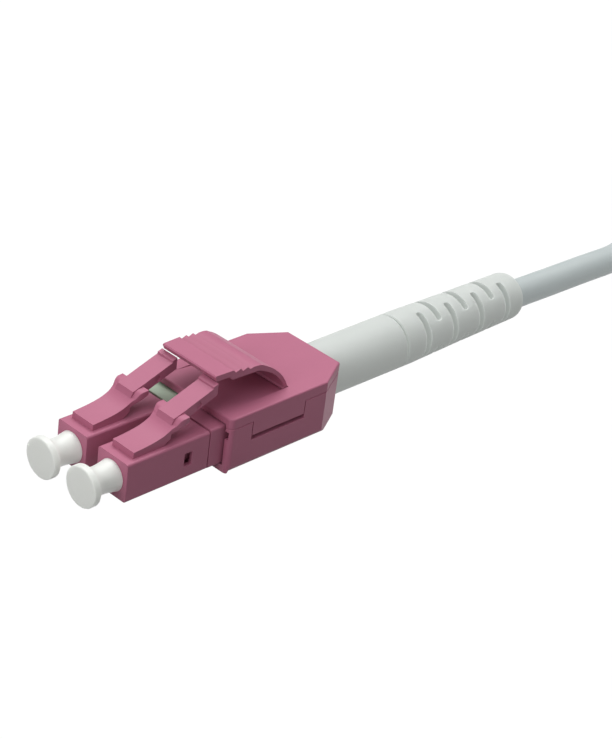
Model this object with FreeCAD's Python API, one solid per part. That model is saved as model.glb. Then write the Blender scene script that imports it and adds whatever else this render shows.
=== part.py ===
import FreeCAD
import Part
import math
import os

# Duplex LC fibre connector with one round cable and a single boot.
# Millimetres. +X runs from the ferrules towards the cable, +Z is up, and the
# origin is the middle of the flat base of the lower shell.

V = FreeCAD.Vector
ALONG_X = V(1, 0, 0)
ALONG_Y = V(0, 1, 0)
ALONG_Z = V(0, 0, 1)
SIDES = {"left": -1, "right": 1}

# ---- Plug pair ----
plug_pitch = 6.25          # between the two ferrule axes
plug_side = 4.5            # width and height of the square housing
plug_length = 11.0
plug_reach = 13.0          # front faces ahead of the shell's mouth
plug_edge = 0.3            # rounded long edges
axis_height = 3.2          # ferrule, crimp and boot axis above the base
front_bore_dia = 3.3       # takes the dust cap's spigot or the adapter's sleeve
front_bore_depth = 4.5
cavity_dia = 3.7           # holds flange, spring and rear body
window_from_front = 7.7
window_length = 1.0
window_height = 1.3
seam_gap = 0.1             # between housing and collar

# ---- Latch ----
latch_from_front = 1.35
latch_block_height = 0.65
latch_block_width = 3.2
latch_block_draft = 0.06
latch_hinge_from_front = 5.05
latch_hinge_radius = 0.5
latch_hinge_lift = 0.58    # hinge axis above the housing's top
latch_crown_from_front = 6.95
latch_flare_from_front = 6.3   # the wings start to spread here
latch_wing_from_front = 7.3
latch_wing_end = 8.05
latch_wing_width = 4.1
latch_wing_drop = 0.38     # wing tops below the arm's top line
latch_wing_thickness = 0.25
latch_arm_width = 2.4
latch_arm_thickness = 1.07
latch_sweep = 0.7          # mean slope of the top line from the hinge to the crown
latch_crown = 0.54         # rise of the top line over the wings
latch_arm_angle = 19.0
latch_end = 12.5           # end of the arm behind the plug's front
latch_rib_height = 0.15
latch_rib_length = 0.4
latch_pit_dia = 0.8
latch_pit_depth = 0.15
flexure_gap = 0.04         # round the two flexing roots

# ---- Ferrule, flange and spring ----
ferrule_dia = 1.25
ferrule_proud = 2.0        # ahead of the housing's front face
ferrule_in_flange = 5.0    # rear end behind the front face
flange_hub_dia = 2.4
flange_hub_from_front = 3.4
flange_head_dia = 3.55
flange_head_length = 0.8
head_to_shoulder = 0.1
flange_tail_dia = 1.6
flange_tail_length = 5.0
flange_bore_dia = 1.0
spring_wire = 0.25
spring_dia = 2.3
spring_turns = 5.5
spring_air = 0.05          # between the spring's ends and its two seats

# ---- Rear body ----
rear_tube_dia = 3.6
rear_tube_bore = 2.4
rear_tube_from_front = 7.4
rear_tube_waist_dia = 3.0  # in front of the guided stretch, behind the windows
rear_tube_waist_end = 9.1  # behind the plug's front
rear_tail_bore = 1.8
spring_seat_from_front = 9.6
snap_bead_dia = 3.9
snap_bead_from_front = 10.0
snap_bead_length = 0.4
snap_air = 0.05            # between the bead and its groove, all round
collar_in_shell = 1.15     # behind the mouth
collar_edge = 0.25
post_dia = 3.8
post_flange_dia = 4.4
post_flange_length = 0.7
post_flange_gap = 0.05

# ---- Dust cap ----
cap_face_proud = 4.0
cap_disc_dia = 4.55
cap_disc_thickness = 0.85
cap_waist_dia = 3.0
cap_foot_dia = 3.5
cap_spigot_length = 2.4
cap_radial_air = 0.05
cap_end_wall = 1.0
cap_foot_air = 0.05        # between the cap's foot and the housing's face

# ---- Shell ----
shell_length = 18.2
shell_width = 12.6
shell_height = 6.55
lid_thickness = 1.25       # from the parting line to the top
lid_roof = 0.8             # thickness of the lid over the collars
rear_taper_length = 4.2
rear_taper_width = 2.3
shell_wall = 0.9
shell_floor = 0.6
front_wall = 1.0
rear_wall = 1.2
front_corner_radius = 0.8
base_edge_radius = 0.75
top_edge_radius = 0.2
mouth_air = 0.15           # round the collars
mouth_relief_height = 0.9
mouth_relief_width = 0.45
mouth_relief_below = 1.3   # its bottom below the parting line
saddle_from_mouth = 3.1
saddle_thickness = 0.9
side_tab_from_mouth = 3.15
side_tab_length = 7.75
side_tab_depth = 1.62      # below the parting line
side_tab_air = 0.05
side_slot_height = 0.53    # open slot left under the tab

# ---- Trigger ----
trigger_lead = 0.75        # lip ahead of the mouth
trigger_rise = 4.35        # lip top above the shell's top
trigger_lip_thickness = 0.66
trigger_lip_step = 0.45
trigger_lip_step_at = 1.2  # behind the mouth
trigger_strap = 0.68
trigger_crest_drop = 0.42  # crest below the lip's top
trigger_bend_length = 0.86
trigger_bend_drop = 0.34
trigger_bulge = 0.21       # how far the rear slope bows outwards
trigger_front_width = 8.0
trigger_rear_width = 9.0
trigger_foot = 9.7         # outer foot behind the mouth
trigger_crest = 5.2        # start of the bend behind the mouth
trigger_foot_thickness = 0.5
trigger_knuckle_radius = 0.3
ridge_start = 1.65
ridge_pitch = 1.0
ridge_depth = 0.32
ridge_fall = 0.1
ridge_count = 3
recess_start = 1.8
recess_depth = 0.4
recess_side_air = 0.1
bay_air = 0.3              # behind the posts' flanges and before the crimp's flange

# ---- Crimp ----
crimp_flange_dia = 5.0
crimp_flange_length = 1.2
crimp_neck_dia = 4.2
crimp_neck_out = 7.0       # behind the shell
crimp_nose_length = 3.0
crimp_bore_dia = 2.2
crimp_air = 0.05
crimp_ring_wall = 0.4
crimp_ring_start = 1.5
crimp_tail_wall = 0.3
crimp_taper_length = 0.8
crimp_tail_length = 4.6
jacket_gap = 0.3           # between the crimp body's neck and the cable's jacket

# ---- Sleeve and boot ----
sleeve_dia = 6.36
sleeve_rear_dia = 6.44     # it widens slightly to the boot's size
sleeve_bore = 5.3
sleeve_length = 13.0
sleeve_gap = 0.05          # between shell and sleeve
boot_gap = 0.12            # groove between sleeve and boot
boot_chamfer = 0.1         # on both edges of that groove
boot_taper_start = 2.0     # the boot tapers from here, behind its front
boot_middle = 9.0          # and more slowly from here
boot_middle_dia = 6.1
boot_length = 21.4
boot_end_dia = 5.8
boot_end_round = 0.9       # length of the rounded end
boot_end_drop = 0.5        # and what it takes off the radius
boot_flare_length = 5.7    # the bore widens over this much of the boot's end
boot_flare_end = 1.7       # and is straight again this far from the end
boot_spigot_length = 3.4
boot_spigot_wall = 0.45
boot_air = 0.05
slot_first = 3.3           # first slot row behind the boot's front
slot_pitch = 2.35
slot_rows = 7
slot_width = 0.9
slot_floor_dia = 4.3
slot_roll = -15.0          # turn of the slot pattern about the boot's axis
side_slot_half_angle = 55.0
top_slot_half_angle = 57.0

# ---- Cable ----
cable_dia = 3.5
cable_sag = 0.45           # below the boot's axis where the cable leaves the boot
cable_sag_start = 5.5      # corners of that dip, ahead of the boot's end
cable_sag_end = 1.75
fibre_dia = 0.9
fibre_start_from_front = 8.0
fibre_spread_at_crimp = 0.5
fibre_bend_lead = 0.27     # share of the way to the crimp before the bend's corner
# Centre line of the free stretch after the boot's end, as far as the hank.
cable_route = [
    (46.00, 0.00, axis_height - cable_sag),
    (50.00, 0.00, 2.60),
    (54.60, 0.00, 2.50),
    (59.60, 0.00, 2.38),
    (64.90, 0.00, 2.14),
    (69.37, 1.07, 2.05),
    (73.45, 3.19, 2.05),
    (77.92, 4.25, 2.05),
    (82.40, 4.25, 2.05),
]
hank_near_centre = 93.0
hank_side = -10.25         # middle of the hank in Y
hank_straight = 22.1
hank_fold_radius = 11.0    # inner ring of turns, centre line
hank_layers = 4
tie_thickness = 0.3
tie_width = 4.0
last_turn_short = 8.0      # the last turn stops this far before the near fold
bare_fibre_length = 6.5

# ---- Places that follow from the sizes ----
mouth_x = -shell_length / 2
tail_x = shell_length / 2
front_x = mouth_x - plug_reach
plug_top = axis_height + plug_side / 2
plug_bottom = axis_height - plug_side / 2
plug_back = front_x + plug_length
parting_height = shell_height - lid_thickness
lid_ceiling = shell_height - lid_roof
collar_front = plug_back + seam_gap
collar_top = lid_ceiling - mouth_air
collar_back = mouth_x + collar_in_shell
sleeve_front = tail_x + sleeve_gap
boot_front = sleeve_front + sleeve_length + boot_gap
boot_back = boot_front + boot_length
past = 1.0                 # cutters run this far past the faces they open
tall = 2 * (shell_height + trigger_rise)   # taller than anything that plans cut
trigger_top = shell_height + trigger_rise


def plug_y(side):
    return SIDES[side] * plug_pitch / 2


def box(x0, x1, y0, y1, z0, z1):
    return Part.makeBox(x1 - x0, y1 - y0, z1 - z0, V(x0, y0, z0))


def rod(x0, x1, dia, y=0.0, z=axis_height):
    return Part.makeCylinder(dia / 2, x1 - x0, V(x0, y, z), ALONG_X)


def pin_y(y0, y1, dia, x, z):
    return Part.makeCylinder(dia / 2, y1 - y0, V(x, y0, z), ALONG_Y)


def wire(start, steps):
    """A closed outline: each step is a point for a line, or (through, point) for an arc."""
    edges = []
    here = start
    for step in steps + [start]:
        if isinstance(step, tuple):
            edges.append(Part.Arc(here, step[0], step[1]).toShape())
            here = step[1]
        elif (step - here).Length > 1e-6:
            edges.append(Part.LineSegment(here, step).toShape())
            here = step
    return Part.Wire(edges)


def prism(outline, along):
    return Part.Face(outline).extrude(along)


def turned(points, y, z=axis_height):
    """Solid of revolution about the X axis through y, z, from (x, radius) points."""
    outline = Part.makePolygon([V(x, y, z + r) for x, r in points + points[:1]])
    return Part.Face(outline).revolve(V(0, y, z), ALONG_X, 360)


def joined(shapes):
    whole = shapes[0]
    for shape in shapes[1:]:
        whole = whole.fuse(shape)
    return whole.removeSplitter()


def less(shape, *tools):
    for tool in tools:
        shape = shape.cut(tool)
    return shape


def rounded(shape, radius, wanted):
    """Fillet the straight edges whose middle and direction satisfy wanted(middle, direction)."""
    edges = []
    for edge in shape.Edges:
        if not isinstance(edge.Curve, Part.Line):
            continue
        along = edge.Vertexes[-1].Point - edge.Vertexes[0].Point
        if wanted(edge.CenterOfMass, along.normalize()):
            edges.append(edge)
    return shape.makeFillet(radius, edges) if edges else shape


def near(a, b, tolerance=0.02):
    return abs(a - b) < tolerance


# ---- Plug housing and latch ----

def latch_hinge():
    return front_x + latch_hinge_from_front, plug_top + latch_hinge_lift


def latch_heights():
    """Heights of the latch's top line at the hinge, at the crown and where the arm starts."""
    top = latch_hinge()[1] + latch_hinge_radius
    crown = top + (latch_crown_from_front - latch_hinge_from_front) * latch_sweep
    return top, crown, crown + latch_crown


def arm_rise(x):
    """Height of the arm's top line at x."""
    start = front_x + latch_wing_end
    return latch_heights()[2] + (x - start) * math.tan(math.radians(latch_arm_angle))


def latch_plan(y):
    """The latch seen from above: block, spread wings, then the narrow arm."""
    x0 = front_x + latch_from_front
    flare = front_x + latch_flare_from_front
    wing = front_x + latch_wing_from_front
    wing_end = front_x + latch_wing_end
    end = front_x + latch_end
    block, wide, arm = latch_block_width / 2, latch_wing_width / 2, latch_arm_width / 2
    near_wide = wide - 0.2 * (wide - block)
    bend_x, bend = (flare + wing) / 2, block + 0.35 * (wide - block)
    half = [V(x0, block, 0), V(flare, block, 0), (V(bend_x, bend, 0), V(wing, near_wide, 0)),
            V(wing_end, wide, 0), V(wing_end, arm, 0), V(end, arm, 0)]
    back = [V(end, -arm, 0), V(wing_end, -arm, 0), V(wing_end, -wide, 0), V(wing, -near_wide, 0),
            (V(bend_x, -bend, 0), V(flare, -block, 0)), V(x0, -block, 0)]
    plan = wire(half[0], half[1:] + back)
    plan.translate(V(0, y, 0))
    return plan


def wing_cuts(y):
    """What is taken off the wings' tops and undersides, outside the arm, on both sides."""
    top, crown, arm_z = latch_heights()
    x0 = front_x + latch_flare_from_front
    wing, end = front_x + latch_wing_from_front, front_x + latch_wing_end
    crown_x = front_x + latch_crown_from_front
    rear_z = arm_z - latch_wing_drop
    half = latch_wing_width / 2 + past
    slot = half - latch_arm_width / 2
    cuts = []
    for y0 in (y - half, y + latch_arm_width / 2):
        above = wire(V(x0, y0, crown - (crown_x - x0) * latch_sweep), [
            V(crown_x, y0, crown),
            V(wing, y0, rear_z),
            V(end + past, y0, rear_z),
            V(end + past, y0, tall),
            V(x0, y0, tall),
        ])
        below = wire(V(x0, y0, crown - latch_arm_thickness - (crown_x - x0) * latch_sweep), [
            V(end, y0, rear_z - latch_wing_thickness),
            V(end, y0, 0),
            V(x0, y0, 0),
        ])
        cuts += [prism(above, V(0, slot, 0)), prism(below, V(0, slot, 0))]
    return cuts


def latch_arm(side):
    y = plug_y(side)
    half = latch_wing_width / 2
    x, hinge_z = latch_hinge()
    top, crown, arm_z = latch_heights()
    crown_x = front_x + latch_crown_from_front
    arm_start = front_x + latch_wing_end
    r = latch_hinge_radius
    end = front_x + latch_end
    rib = end - latch_rib_length
    drop = latch_arm_thickness / math.cos(math.radians(latch_arm_angle))
    under_start = arm_start + latch_arm_thickness / 2
    y0 = y - half
    sweep_mid = V(x + (crown_x - x) * 0.55, y0, top + (crown - top) * 0.36)
    crown_mid = V((crown_x + arm_start) / 2, y0, (crown + arm_z) / 2 + latch_crown / 9)
    outline = wire(V(x, y0, top), [
        (sweep_mid, V(crown_x, y0, crown)),
        (crown_mid, V(arm_start, y0, arm_z)),
        V(rib, y0, arm_rise(rib)),
        V(rib, y0, arm_rise(rib) + latch_rib_height),
        V(end, y0, arm_rise(end) + latch_rib_height),
        V(end, y0, arm_rise(end) - drop),
        V(under_start, y0, arm_rise(under_start) - drop),
        V(crown_x, y0, crown - latch_arm_thickness),
        V(x + r * math.sin(0.35), y0, hinge_z - r * math.cos(0.35)),
        (V(x - r, y0, hinge_z), V(x, y0, top)),
    ])
    arm = prism(outline, V(0, 2 * half, 0)).common(prism(latch_plan(y), V(0, 0, tall)))
    arm = less(arm, *wing_cuts(y))
    pit_x = front_x + latch_end * 0.8
    pit_z = arm_rise(pit_x) - drop + latch_pit_dia * 0.6
    for sign in (-1, 1):
        y_face = y + sign * latch_arm_width / 2
        arm = less(arm, pin_y(y_face - latch_pit_depth, y_face + latch_pit_depth,
                              latch_pit_dia, pit_x, pit_z))
    return arm.removeSplitter()


def latch_block(side):
    """Root of the latch, moulded on the housing, with the hollow the arm's root turns in."""
    y = plug_y(side)
    x, hinge_z = latch_hinge()
    x0 = front_x + latch_from_front
    r = latch_hinge_radius + flexure_gap
    top = hinge_z + latch_hinge_radius
    middle_z = plug_top + (latch_block_height + top - plug_top) * 0.46
    y0 = y - latch_block_width / 2
    sunk = plug_top - plug_edge
    outline = wire(V(x0, y0, sunk), [
        V(x0, y0, plug_top),
        V(x0 + latch_block_draft, y0, plug_top + latch_block_height),
        V((x0 + x) / 2, y0, middle_z),
        V(x, y0, top),
        V(x, y0, sunk),
    ])
    block = prism(outline, V(0, latch_block_width, 0))
    return less(block, pin_y(y0 - past, y0 + latch_block_width + past, 2 * r, x, hinge_z))


def plug_housing(side):
    y = plug_y(side)
    half = plug_side / 2
    body = box(front_x, plug_back, y - half, y + half, plug_bottom, plug_top)
    body = rounded(body, plug_edge, lambda middle, along: near(abs(along.x), 1))
    body = joined([body, latch_block(side)])
    bore = rod(front_x - past, front_x + front_bore_depth, front_bore_dia, y)
    cavity = rod(front_x + front_bore_depth, plug_back + past, cavity_dia, y)
    groove = rod(front_x + snap_bead_from_front - snap_air,
                 front_x + snap_bead_from_front + snap_bead_length + snap_air,
                 snap_bead_dia + 2 * snap_air, y)
    window = box(front_x + window_from_front, front_x + window_from_front + window_length,
                 y - half - past, y + half + past,
                 axis_height - window_height / 2, axis_height + window_height / 2)
    return less(body, bore, cavity, groove, window)


# ---- Rear body: spring seat, snap bead, collar and the post held in the shell ----

def rear_body(side):
    y = plug_y(side)
    half = plug_side / 2
    tube_front = front_x + rear_tube_from_front
    waist_end = front_x + rear_tube_waist_end
    bead = front_x + snap_bead_from_front
    flange_front = saddle_back() + post_flange_gap
    flange_back = flange_front + post_flange_length
    collar = box(collar_front, collar_back, y - half, y + half, plug_bottom, collar_top)
    collar = rounded(collar, collar_edge, lambda middle, along: near(abs(along.x), 1))
    solid = joined([
        rod(tube_front, waist_end, rear_tube_waist_dia, y),
        rod(waist_end, collar_front, rear_tube_dia, y),
        rod(bead, bead + snap_bead_length, snap_bead_dia, y),
        collar,
        rod(collar_back, flange_back, post_dia, y),
        rod(flange_front, flange_back, post_flange_dia, y),
    ])
    seat = front_x + spring_seat_from_front
    wide = rod(tube_front - past, seat, rear_tube_bore, y)
    narrow = rod(seat, flange_back + past, rear_tail_bore, y)
    return less(solid, wide, narrow)


def saddle_back():
    return mouth_x + saddle_from_mouth + saddle_thickness


# ---- Ferrule, flange, spring, fibre ----

def ferrule(side):
    y = plug_y(side)
    tip = front_x - ferrule_proud
    back = front_x + ferrule_in_flange
    r = ferrule_dia / 2
    return turned([(tip, 0), (tip, r - 0.2), (tip + 0.2, r), (back, r), (back, 0)], y)


def ferrule_flange(side):
    y = plug_y(side)
    hub_x = front_x + flange_hub_from_front
    head_x = front_x + front_bore_depth + head_to_shoulder
    head_back = head_x + flange_head_length
    tail_back = head_back + flange_tail_length
    hub, head, tail = flange_hub_dia / 2, flange_head_dia / 2, flange_tail_dia / 2
    solid = turned([
        (hub_x, 0), (hub_x, hub - 0.15), (hub_x + 0.15, hub), (head_x, hub), (head_x, head),
        (head_back, head), (head_back, tail), (tail_back, tail), (tail_back, 0),
    ], y)
    grip = rod(hub_x - past, front_x + ferrule_in_flange, ferrule_dia, y)
    bore = rod(hub_x - past, tail_back + past, flange_bore_dia, y)
    return less(solid, grip, bore)


def ferrule_spring(side):
    y = plug_y(side)
    head_back = front_x + front_bore_depth + head_to_shoulder + flange_head_length
    seat = front_x + spring_seat_from_front
    start = head_back + spring_air + spring_wire / 2
    length = seat - spring_air - spring_wire / 2 - start
    mean_r = (spring_dia - spring_wire) / 2
    line = Part.makeHelix(length / spring_turns, length, mean_r)
    half = spring_wire / 2
    corners = [V(mean_r + half * math.cos(a), 0, half * math.sin(a))
               for a in [math.radians(60 * i) for i in range(6)]]
    section = Part.makePolygon(corners + corners[:1])
    coil = Part.Wire(line.Edges).makePipeShell([section], True, True)
    coil.rotate(V(0, 0, 0), ALONG_Y, 90)
    coil.translate(V(start, y, axis_height))
    return coil


def tube_along(points, radius_of, dia):
    """A round bar along straight runs joined by tangent arcs, and its centre line's length."""
    edges = []
    here = V(*points[0])
    for i in range(1, len(points) - 1):
        before, corner, after = V(*points[i - 1]), V(*points[i]), V(*points[i + 1])
        towards = (before - corner).normalize()
        onwards = (after - corner).normalize()
        half_turn = (math.pi - towards.getAngle(onwards)) / 2
        radius = radius_of((corner - before).Length, (after - corner).Length, half_turn)
        cut = radius * math.tan(half_turn)
        start, end = corner + towards * cut, corner + onwards * cut
        inwards = (towards + onwards).normalize()
        centre = corner + inwards * (radius / math.cos(half_turn))
        middle = centre - inwards * radius
        edges.append(Part.LineSegment(here, start).toShape())
        edges.append(Part.Arc(start, middle, end).toShape())
        here = end
    edges.append(Part.LineSegment(here, V(*points[-1])).toShape())
    path = Part.Wire(edges)
    first = V(*points[1]) - V(*points[0])
    section = Part.Wire(Part.makeCircle(dia / 2, V(*points[0]), first))
    return path.makePipeShell([section], True, True), path.Length


def largest_arc(run_a, run_b, half_turn):
    return 0.45 * min(run_a, run_b) / math.tan(half_turn)


def fibre(side):
    """Buffered fibre from the flange's tail to the cable, bent once each way inside the shell."""
    y = plug_y(side)
    end_y = SIDES[side] * fibre_spread_at_crimp
    post_end = saddle_back() + post_flange_gap + post_flange_length
    lead = fibre_bend_lead * (crimp_front() - post_end)
    points = [
        (front_x + fibre_start_from_front, y, axis_height),
        (post_end + lead, y, axis_height),
        (crimp_front() - lead, end_y, axis_height),
        (cable_start(), end_y, axis_height),
    ]
    solid, _ = tube_along(points, largest_arc, fibre_dia)
    return solid


# ---- Dust cap ----

def dust_cap(side):
    y = plug_y(side)
    face = front_x - cap_face_proud
    disc_back = face + cap_disc_thickness
    foot = front_x - cap_foot_air
    spigot_end = front_x + cap_spigot_length
    disc, waist, base = cap_disc_dia / 2, cap_waist_dia / 2, cap_foot_dia / 2
    spigot = front_bore_dia / 2 - cap_radial_air
    hole = ferrule_dia / 2 + cap_radial_air
    hole_end = face + cap_end_wall

    def at(x, r):
        return V(x, y, axis_height + r)

    rim = min(0.35, cap_disc_thickness * 0.42)
    flare = (foot - disc_back) * 0.45
    outline = wire(at(face, 0), [
        at(face, disc - rim),
        (at(face + rim * 0.3, disc - rim * 0.3), at(face + rim, disc)),
        at(disc_back - rim * 0.6, disc),
        (at(disc_back - rim * 0.18, disc - rim * 0.18), at(disc_back, disc - rim * 0.6)),
        (at(disc_back + flare * 0.3, waist + (disc - waist) * 0.24), at(disc_back + flare, waist)),
        (at(foot - (foot - disc_back) * 0.2, waist + (base - waist) * 0.5), at(foot, base)),
        at(foot, spigot),
        at(spigot_end - 0.2, spigot),
        at(spigot_end, spigot - 0.2),
        at(spigot_end, hole + 0.15),
        at(spigot_end - 0.15, hole),
        at(hole_end, hole),
        at(hole_end, 0),
    ])
    return Part.Face(outline).revolve(V(0, y, axis_height), ALONG_X, 360)


# ---- Shells ----

def shell_plan(z, inset=0.0):
    """Plan outline of the shell: a rectangle with the two rear corners cut off."""
    half = shell_width / 2 - inset
    rear_half = shell_width / 2 - rear_taper_width - inset
    x0, x1 = mouth_x + inset, tail_x - inset
    taper = tail_x - rear_taper_length - inset * 0.4
    points = [(x0, -half), (taper, -half), (x1, -rear_half),
              (x1, rear_half), (taper, half), (x0, half)]
    return Part.makePolygon([V(x, y, z) for x, y in points + points[:1]])


def shell_block(z0, z1):
    block = prism(shell_plan(z0), V(0, 0, z1 - z0))
    return rounded(block, front_corner_radius, lambda middle, along: (
        near(abs(along.z), 1) and near(middle.x, mouth_x, 0.1)))


def mouths(z_top):
    half = plug_side / 2 + mouth_air
    cuts = []
    for side in SIDES:
        y = plug_y(side)
        cuts.append(box(mouth_x - past, mouth_x + front_wall + past / 2, y - half, y + half,
                        plug_bottom - mouth_air, z_top))
    return cuts


def side_tab_ends(air):
    """Front and rear X of the side tabs, grown by air."""
    x0 = mouth_x + side_tab_from_mouth
    return x0 - air, x0 + side_tab_length + air


def shell_bottom():
    solid = shell_block(0, parting_height)
    solid = rounded(solid, base_edge_radius, lambda middle, along: (
        near(middle.z, 0) and near(abs(along.x), 1)))
    half = shell_width / 2
    hollow = prism(shell_plan(shell_floor, shell_wall), V(0, 0, tall))
    inside = box(mouth_x + front_wall, tail_x - rear_wall, -half, half, 0, tall)
    saddle = box(saddle_back() - saddle_thickness, saddle_back(), -half + shell_wall / 2,
                 half - shell_wall / 2, shell_floor / 2, parting_height)
    solid = joined([less(solid, hollow.common(inside)), saddle])
    post = post_dia + 2 * crimp_air
    for side in SIDES:
        y = plug_y(side)
        x0, x1 = saddle_back() - saddle_thickness - past / 2, saddle_back() + past / 2
        solid = less(solid, rod(x0, x1, post, y),
                     box(x0, x1, y - post / 2, y + post / 2, axis_height, tall))
    neck = crimp_neck_dia / 2 + crimp_air
    solid = less(solid, neck_way(), box(tail_x - rear_wall - past / 4, tail_x + past,
                                        -neck, neck, axis_height, tall))
    solid = less(solid, *mouths(tall))
    x0, x1 = side_tab_ends(side_tab_air)
    inner = plug_pitch / 2 + plug_side / 2
    relief = parting_height - mouth_relief_below
    for sign in (-1, 1):
        ys = sorted((sign * (half - shell_wall - side_tab_air), sign * (half + past)))
        solid = less(solid, box(x0, x1, *ys,
                                parting_height - side_tab_depth - side_slot_height, tall))
        ys = sorted((sign * inner, sign * (inner + mouth_air + mouth_relief_width)))
        solid = less(solid, box(mouth_x - past, mouth_x + front_wall + past / 4, *ys,
                                relief, relief + mouth_relief_height))
    return solid.removeSplitter()


def neck_way():
    return rod(tail_x - rear_wall - past / 4, tail_x + past, crimp_neck_dia + 2 * crimp_air)


def knuckle():
    return (mouth_x + trigger_foot - trigger_foot_thickness / 2,
            shell_height - trigger_knuckle_radius / 2)


def shell_top():
    solid = shell_block(parting_height, shell_height)
    solid = rounded(solid, top_edge_radius, lambda middle, along: near(middle.z, shell_height))
    half = shell_width / 2
    half_inner = half - shell_wall
    bay_back = saddle_back() + post_flange_gap + post_flange_length + bay_air
    bay = box(mouth_x + front_wall, bay_back, -half_inner, half_inner, 0, lid_ceiling)
    crimp_room = rod(crimp_front() + crimp_nose_length - bay_air, tail_x - rear_wall,
                     crimp_flange_dia + 2 * crimp_air)
    nose_room = rod(crimp_front() - bay_air, tail_x - rear_wall, crimp_neck_dia + 2 * crimp_air)
    solid = less(solid, bay, crimp_room, nose_room, neck_way(), *mouths(lid_ceiling))
    x0, x1 = side_tab_ends(0)
    root = parting_height + (lid_ceiling - parting_height) / 2
    tabs = []
    for sign in (-1, 1):
        ys = sorted((sign * half_inner, sign * half))
        tabs.append(box(x0, x1, *ys, parting_height - side_tab_depth, root))
    solid = joined([solid] + tabs)
    knuckle_x, knuckle_z = knuckle()
    side = trigger_rear_width / 2 + recess_side_air
    recess = wire(V(mouth_x + recess_start, -side, shell_height), [
        V(knuckle_x, -side, shell_height - recess_depth),
        V(knuckle_x, -side, shell_height + past),
        V(mouth_x + recess_start, -side, shell_height + past),
    ])
    groove = pin_y(-side, side, 2 * (trigger_knuckle_radius + flexure_gap), knuckle_x, knuckle_z)
    return less(solid, prism(recess, V(0, 2 * side, 0)), groove)


# ---- Trigger ----

def ridge_line(y):
    """Saw-tooth grip ridges from the lip's flat to the crest, falling slightly to the rear."""
    points = []
    x, z = mouth_x + ridge_start, trigger_top
    for _ in range(ridge_count):
        points.append(V(x, y, z))
        points.append(V(x + ridge_pitch * 0.36, y, z - ridge_depth))
        x += ridge_pitch
        z -= ridge_fall
    return points


def trigger():
    top = trigger_top
    knuckle_x, knuckle_z = knuckle()
    lip = mouth_x - trigger_lead
    step = mouth_x + trigger_lip_step_at
    crest = mouth_x + trigger_crest
    foot_out = mouth_x + trigger_foot
    foot_in = foot_out - trigger_foot_thickness
    y = -trigger_rear_width / 2
    low = top - trigger_lip_thickness
    crest_z = top - trigger_crest_drop
    inner = crest_z - trigger_strap
    bend = crest + trigger_bend_length
    bend_z = crest_z - trigger_bend_drop
    inner_bend = bend - trigger_strap * 0.4
    inner_bend_z = bend_z - trigger_strap * 0.8
    slope_mid = V((bend + foot_out) / 2 + trigger_bulge, y,
                  (bend_z + shell_height) / 2 + trigger_bulge)
    inner_mid = V((inner_bend + foot_in) / 2 + trigger_bulge, y,
                  (inner_bend_z + knuckle_z) / 2 + trigger_bulge)
    edge = trigger_lip_thickness / 5
    outline = wire(V(lip, y, top - edge), [
        V(lip + edge, y, top),
        *ridge_line(y),
        V(crest - trigger_strap, y, crest_z),
        (V((crest + bend) / 2, y, crest_z - trigger_bend_drop / 5), V(bend, y, bend_z)),
        (slope_mid, V(foot_out, y, shell_height)),
        V(knuckle_x, y, knuckle_z),
        V(foot_in, y, shell_height),
        (inner_mid, V(inner_bend, y, inner_bend_z)),
        V(crest, y, inner),
        V(step + trigger_lip_step, y, inner),
        V(step, y, low),
        V(lip + 2 * edge, y, low),
    ])
    strap = prism(outline, V(0, trigger_rear_width, 0))
    front, rear = trigger_front_width / 2, trigger_rear_width / 2
    corners = [V(lip - past, -front, 0), V(foot_out + past, -rear, 0),
               V(foot_out + past, rear, 0), V(lip - past, front, 0)]
    plan = Part.makePolygon(corners + corners[:1])
    strap = strap.common(prism(plan, V(0, 0, tall)))
    return joined([strap, pin_y(-rear, rear, 2 * trigger_knuckle_radius, knuckle_x, knuckle_z)])


# ---- Crimp, sleeve and boot ----

def crimp_front():
    return tail_x - rear_wall - crimp_air - crimp_flange_length - crimp_nose_length


def cable_start():
    """Front end of the cable's jacket, just behind the crimp body's neck."""
    return tail_x + crimp_neck_out + jacket_gap


def crimp_body():
    x = crimp_front()
    flange = x + crimp_nose_length
    nose = rod(x, flange, crimp_neck_dia)
    disc = rod(flange, flange + crimp_flange_length, crimp_flange_dia)
    neck = rod(flange, tail_x + crimp_neck_out, crimp_neck_dia)
    bore = rod(x - past, tail_x + crimp_neck_out + past, crimp_bore_dia)
    return less(joined([nose, disc, neck]), bore)


def crimp_ring():
    start = tail_x + crimp_ring_start
    wide_end = tail_x + crimp_neck_out
    tail = wide_end + crimp_taper_length
    tail_end = tail + crimp_tail_length
    neck, jacket = crimp_neck_dia / 2, cable_dia / 2
    return turned([
        (start, neck), (start, neck + crimp_ring_wall), (wide_end, neck + crimp_ring_wall),
        (tail, jacket + crimp_tail_wall), (tail_end, jacket + crimp_tail_wall),
        (tail_end, jacket), (wide_end + jacket_gap, jacket), (wide_end, neck),
    ], 0)


def boot_sleeve():
    end = sleeve_front + sleeve_length
    outer, rear, inner = sleeve_dia / 2, sleeve_rear_dia / 2, sleeve_bore / 2
    return turned([
        (sleeve_front, inner), (sleeve_front, outer), (end - boot_chamfer, rear),
        (end, rear - boot_chamfer), (end, inner),
    ], 0)


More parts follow.
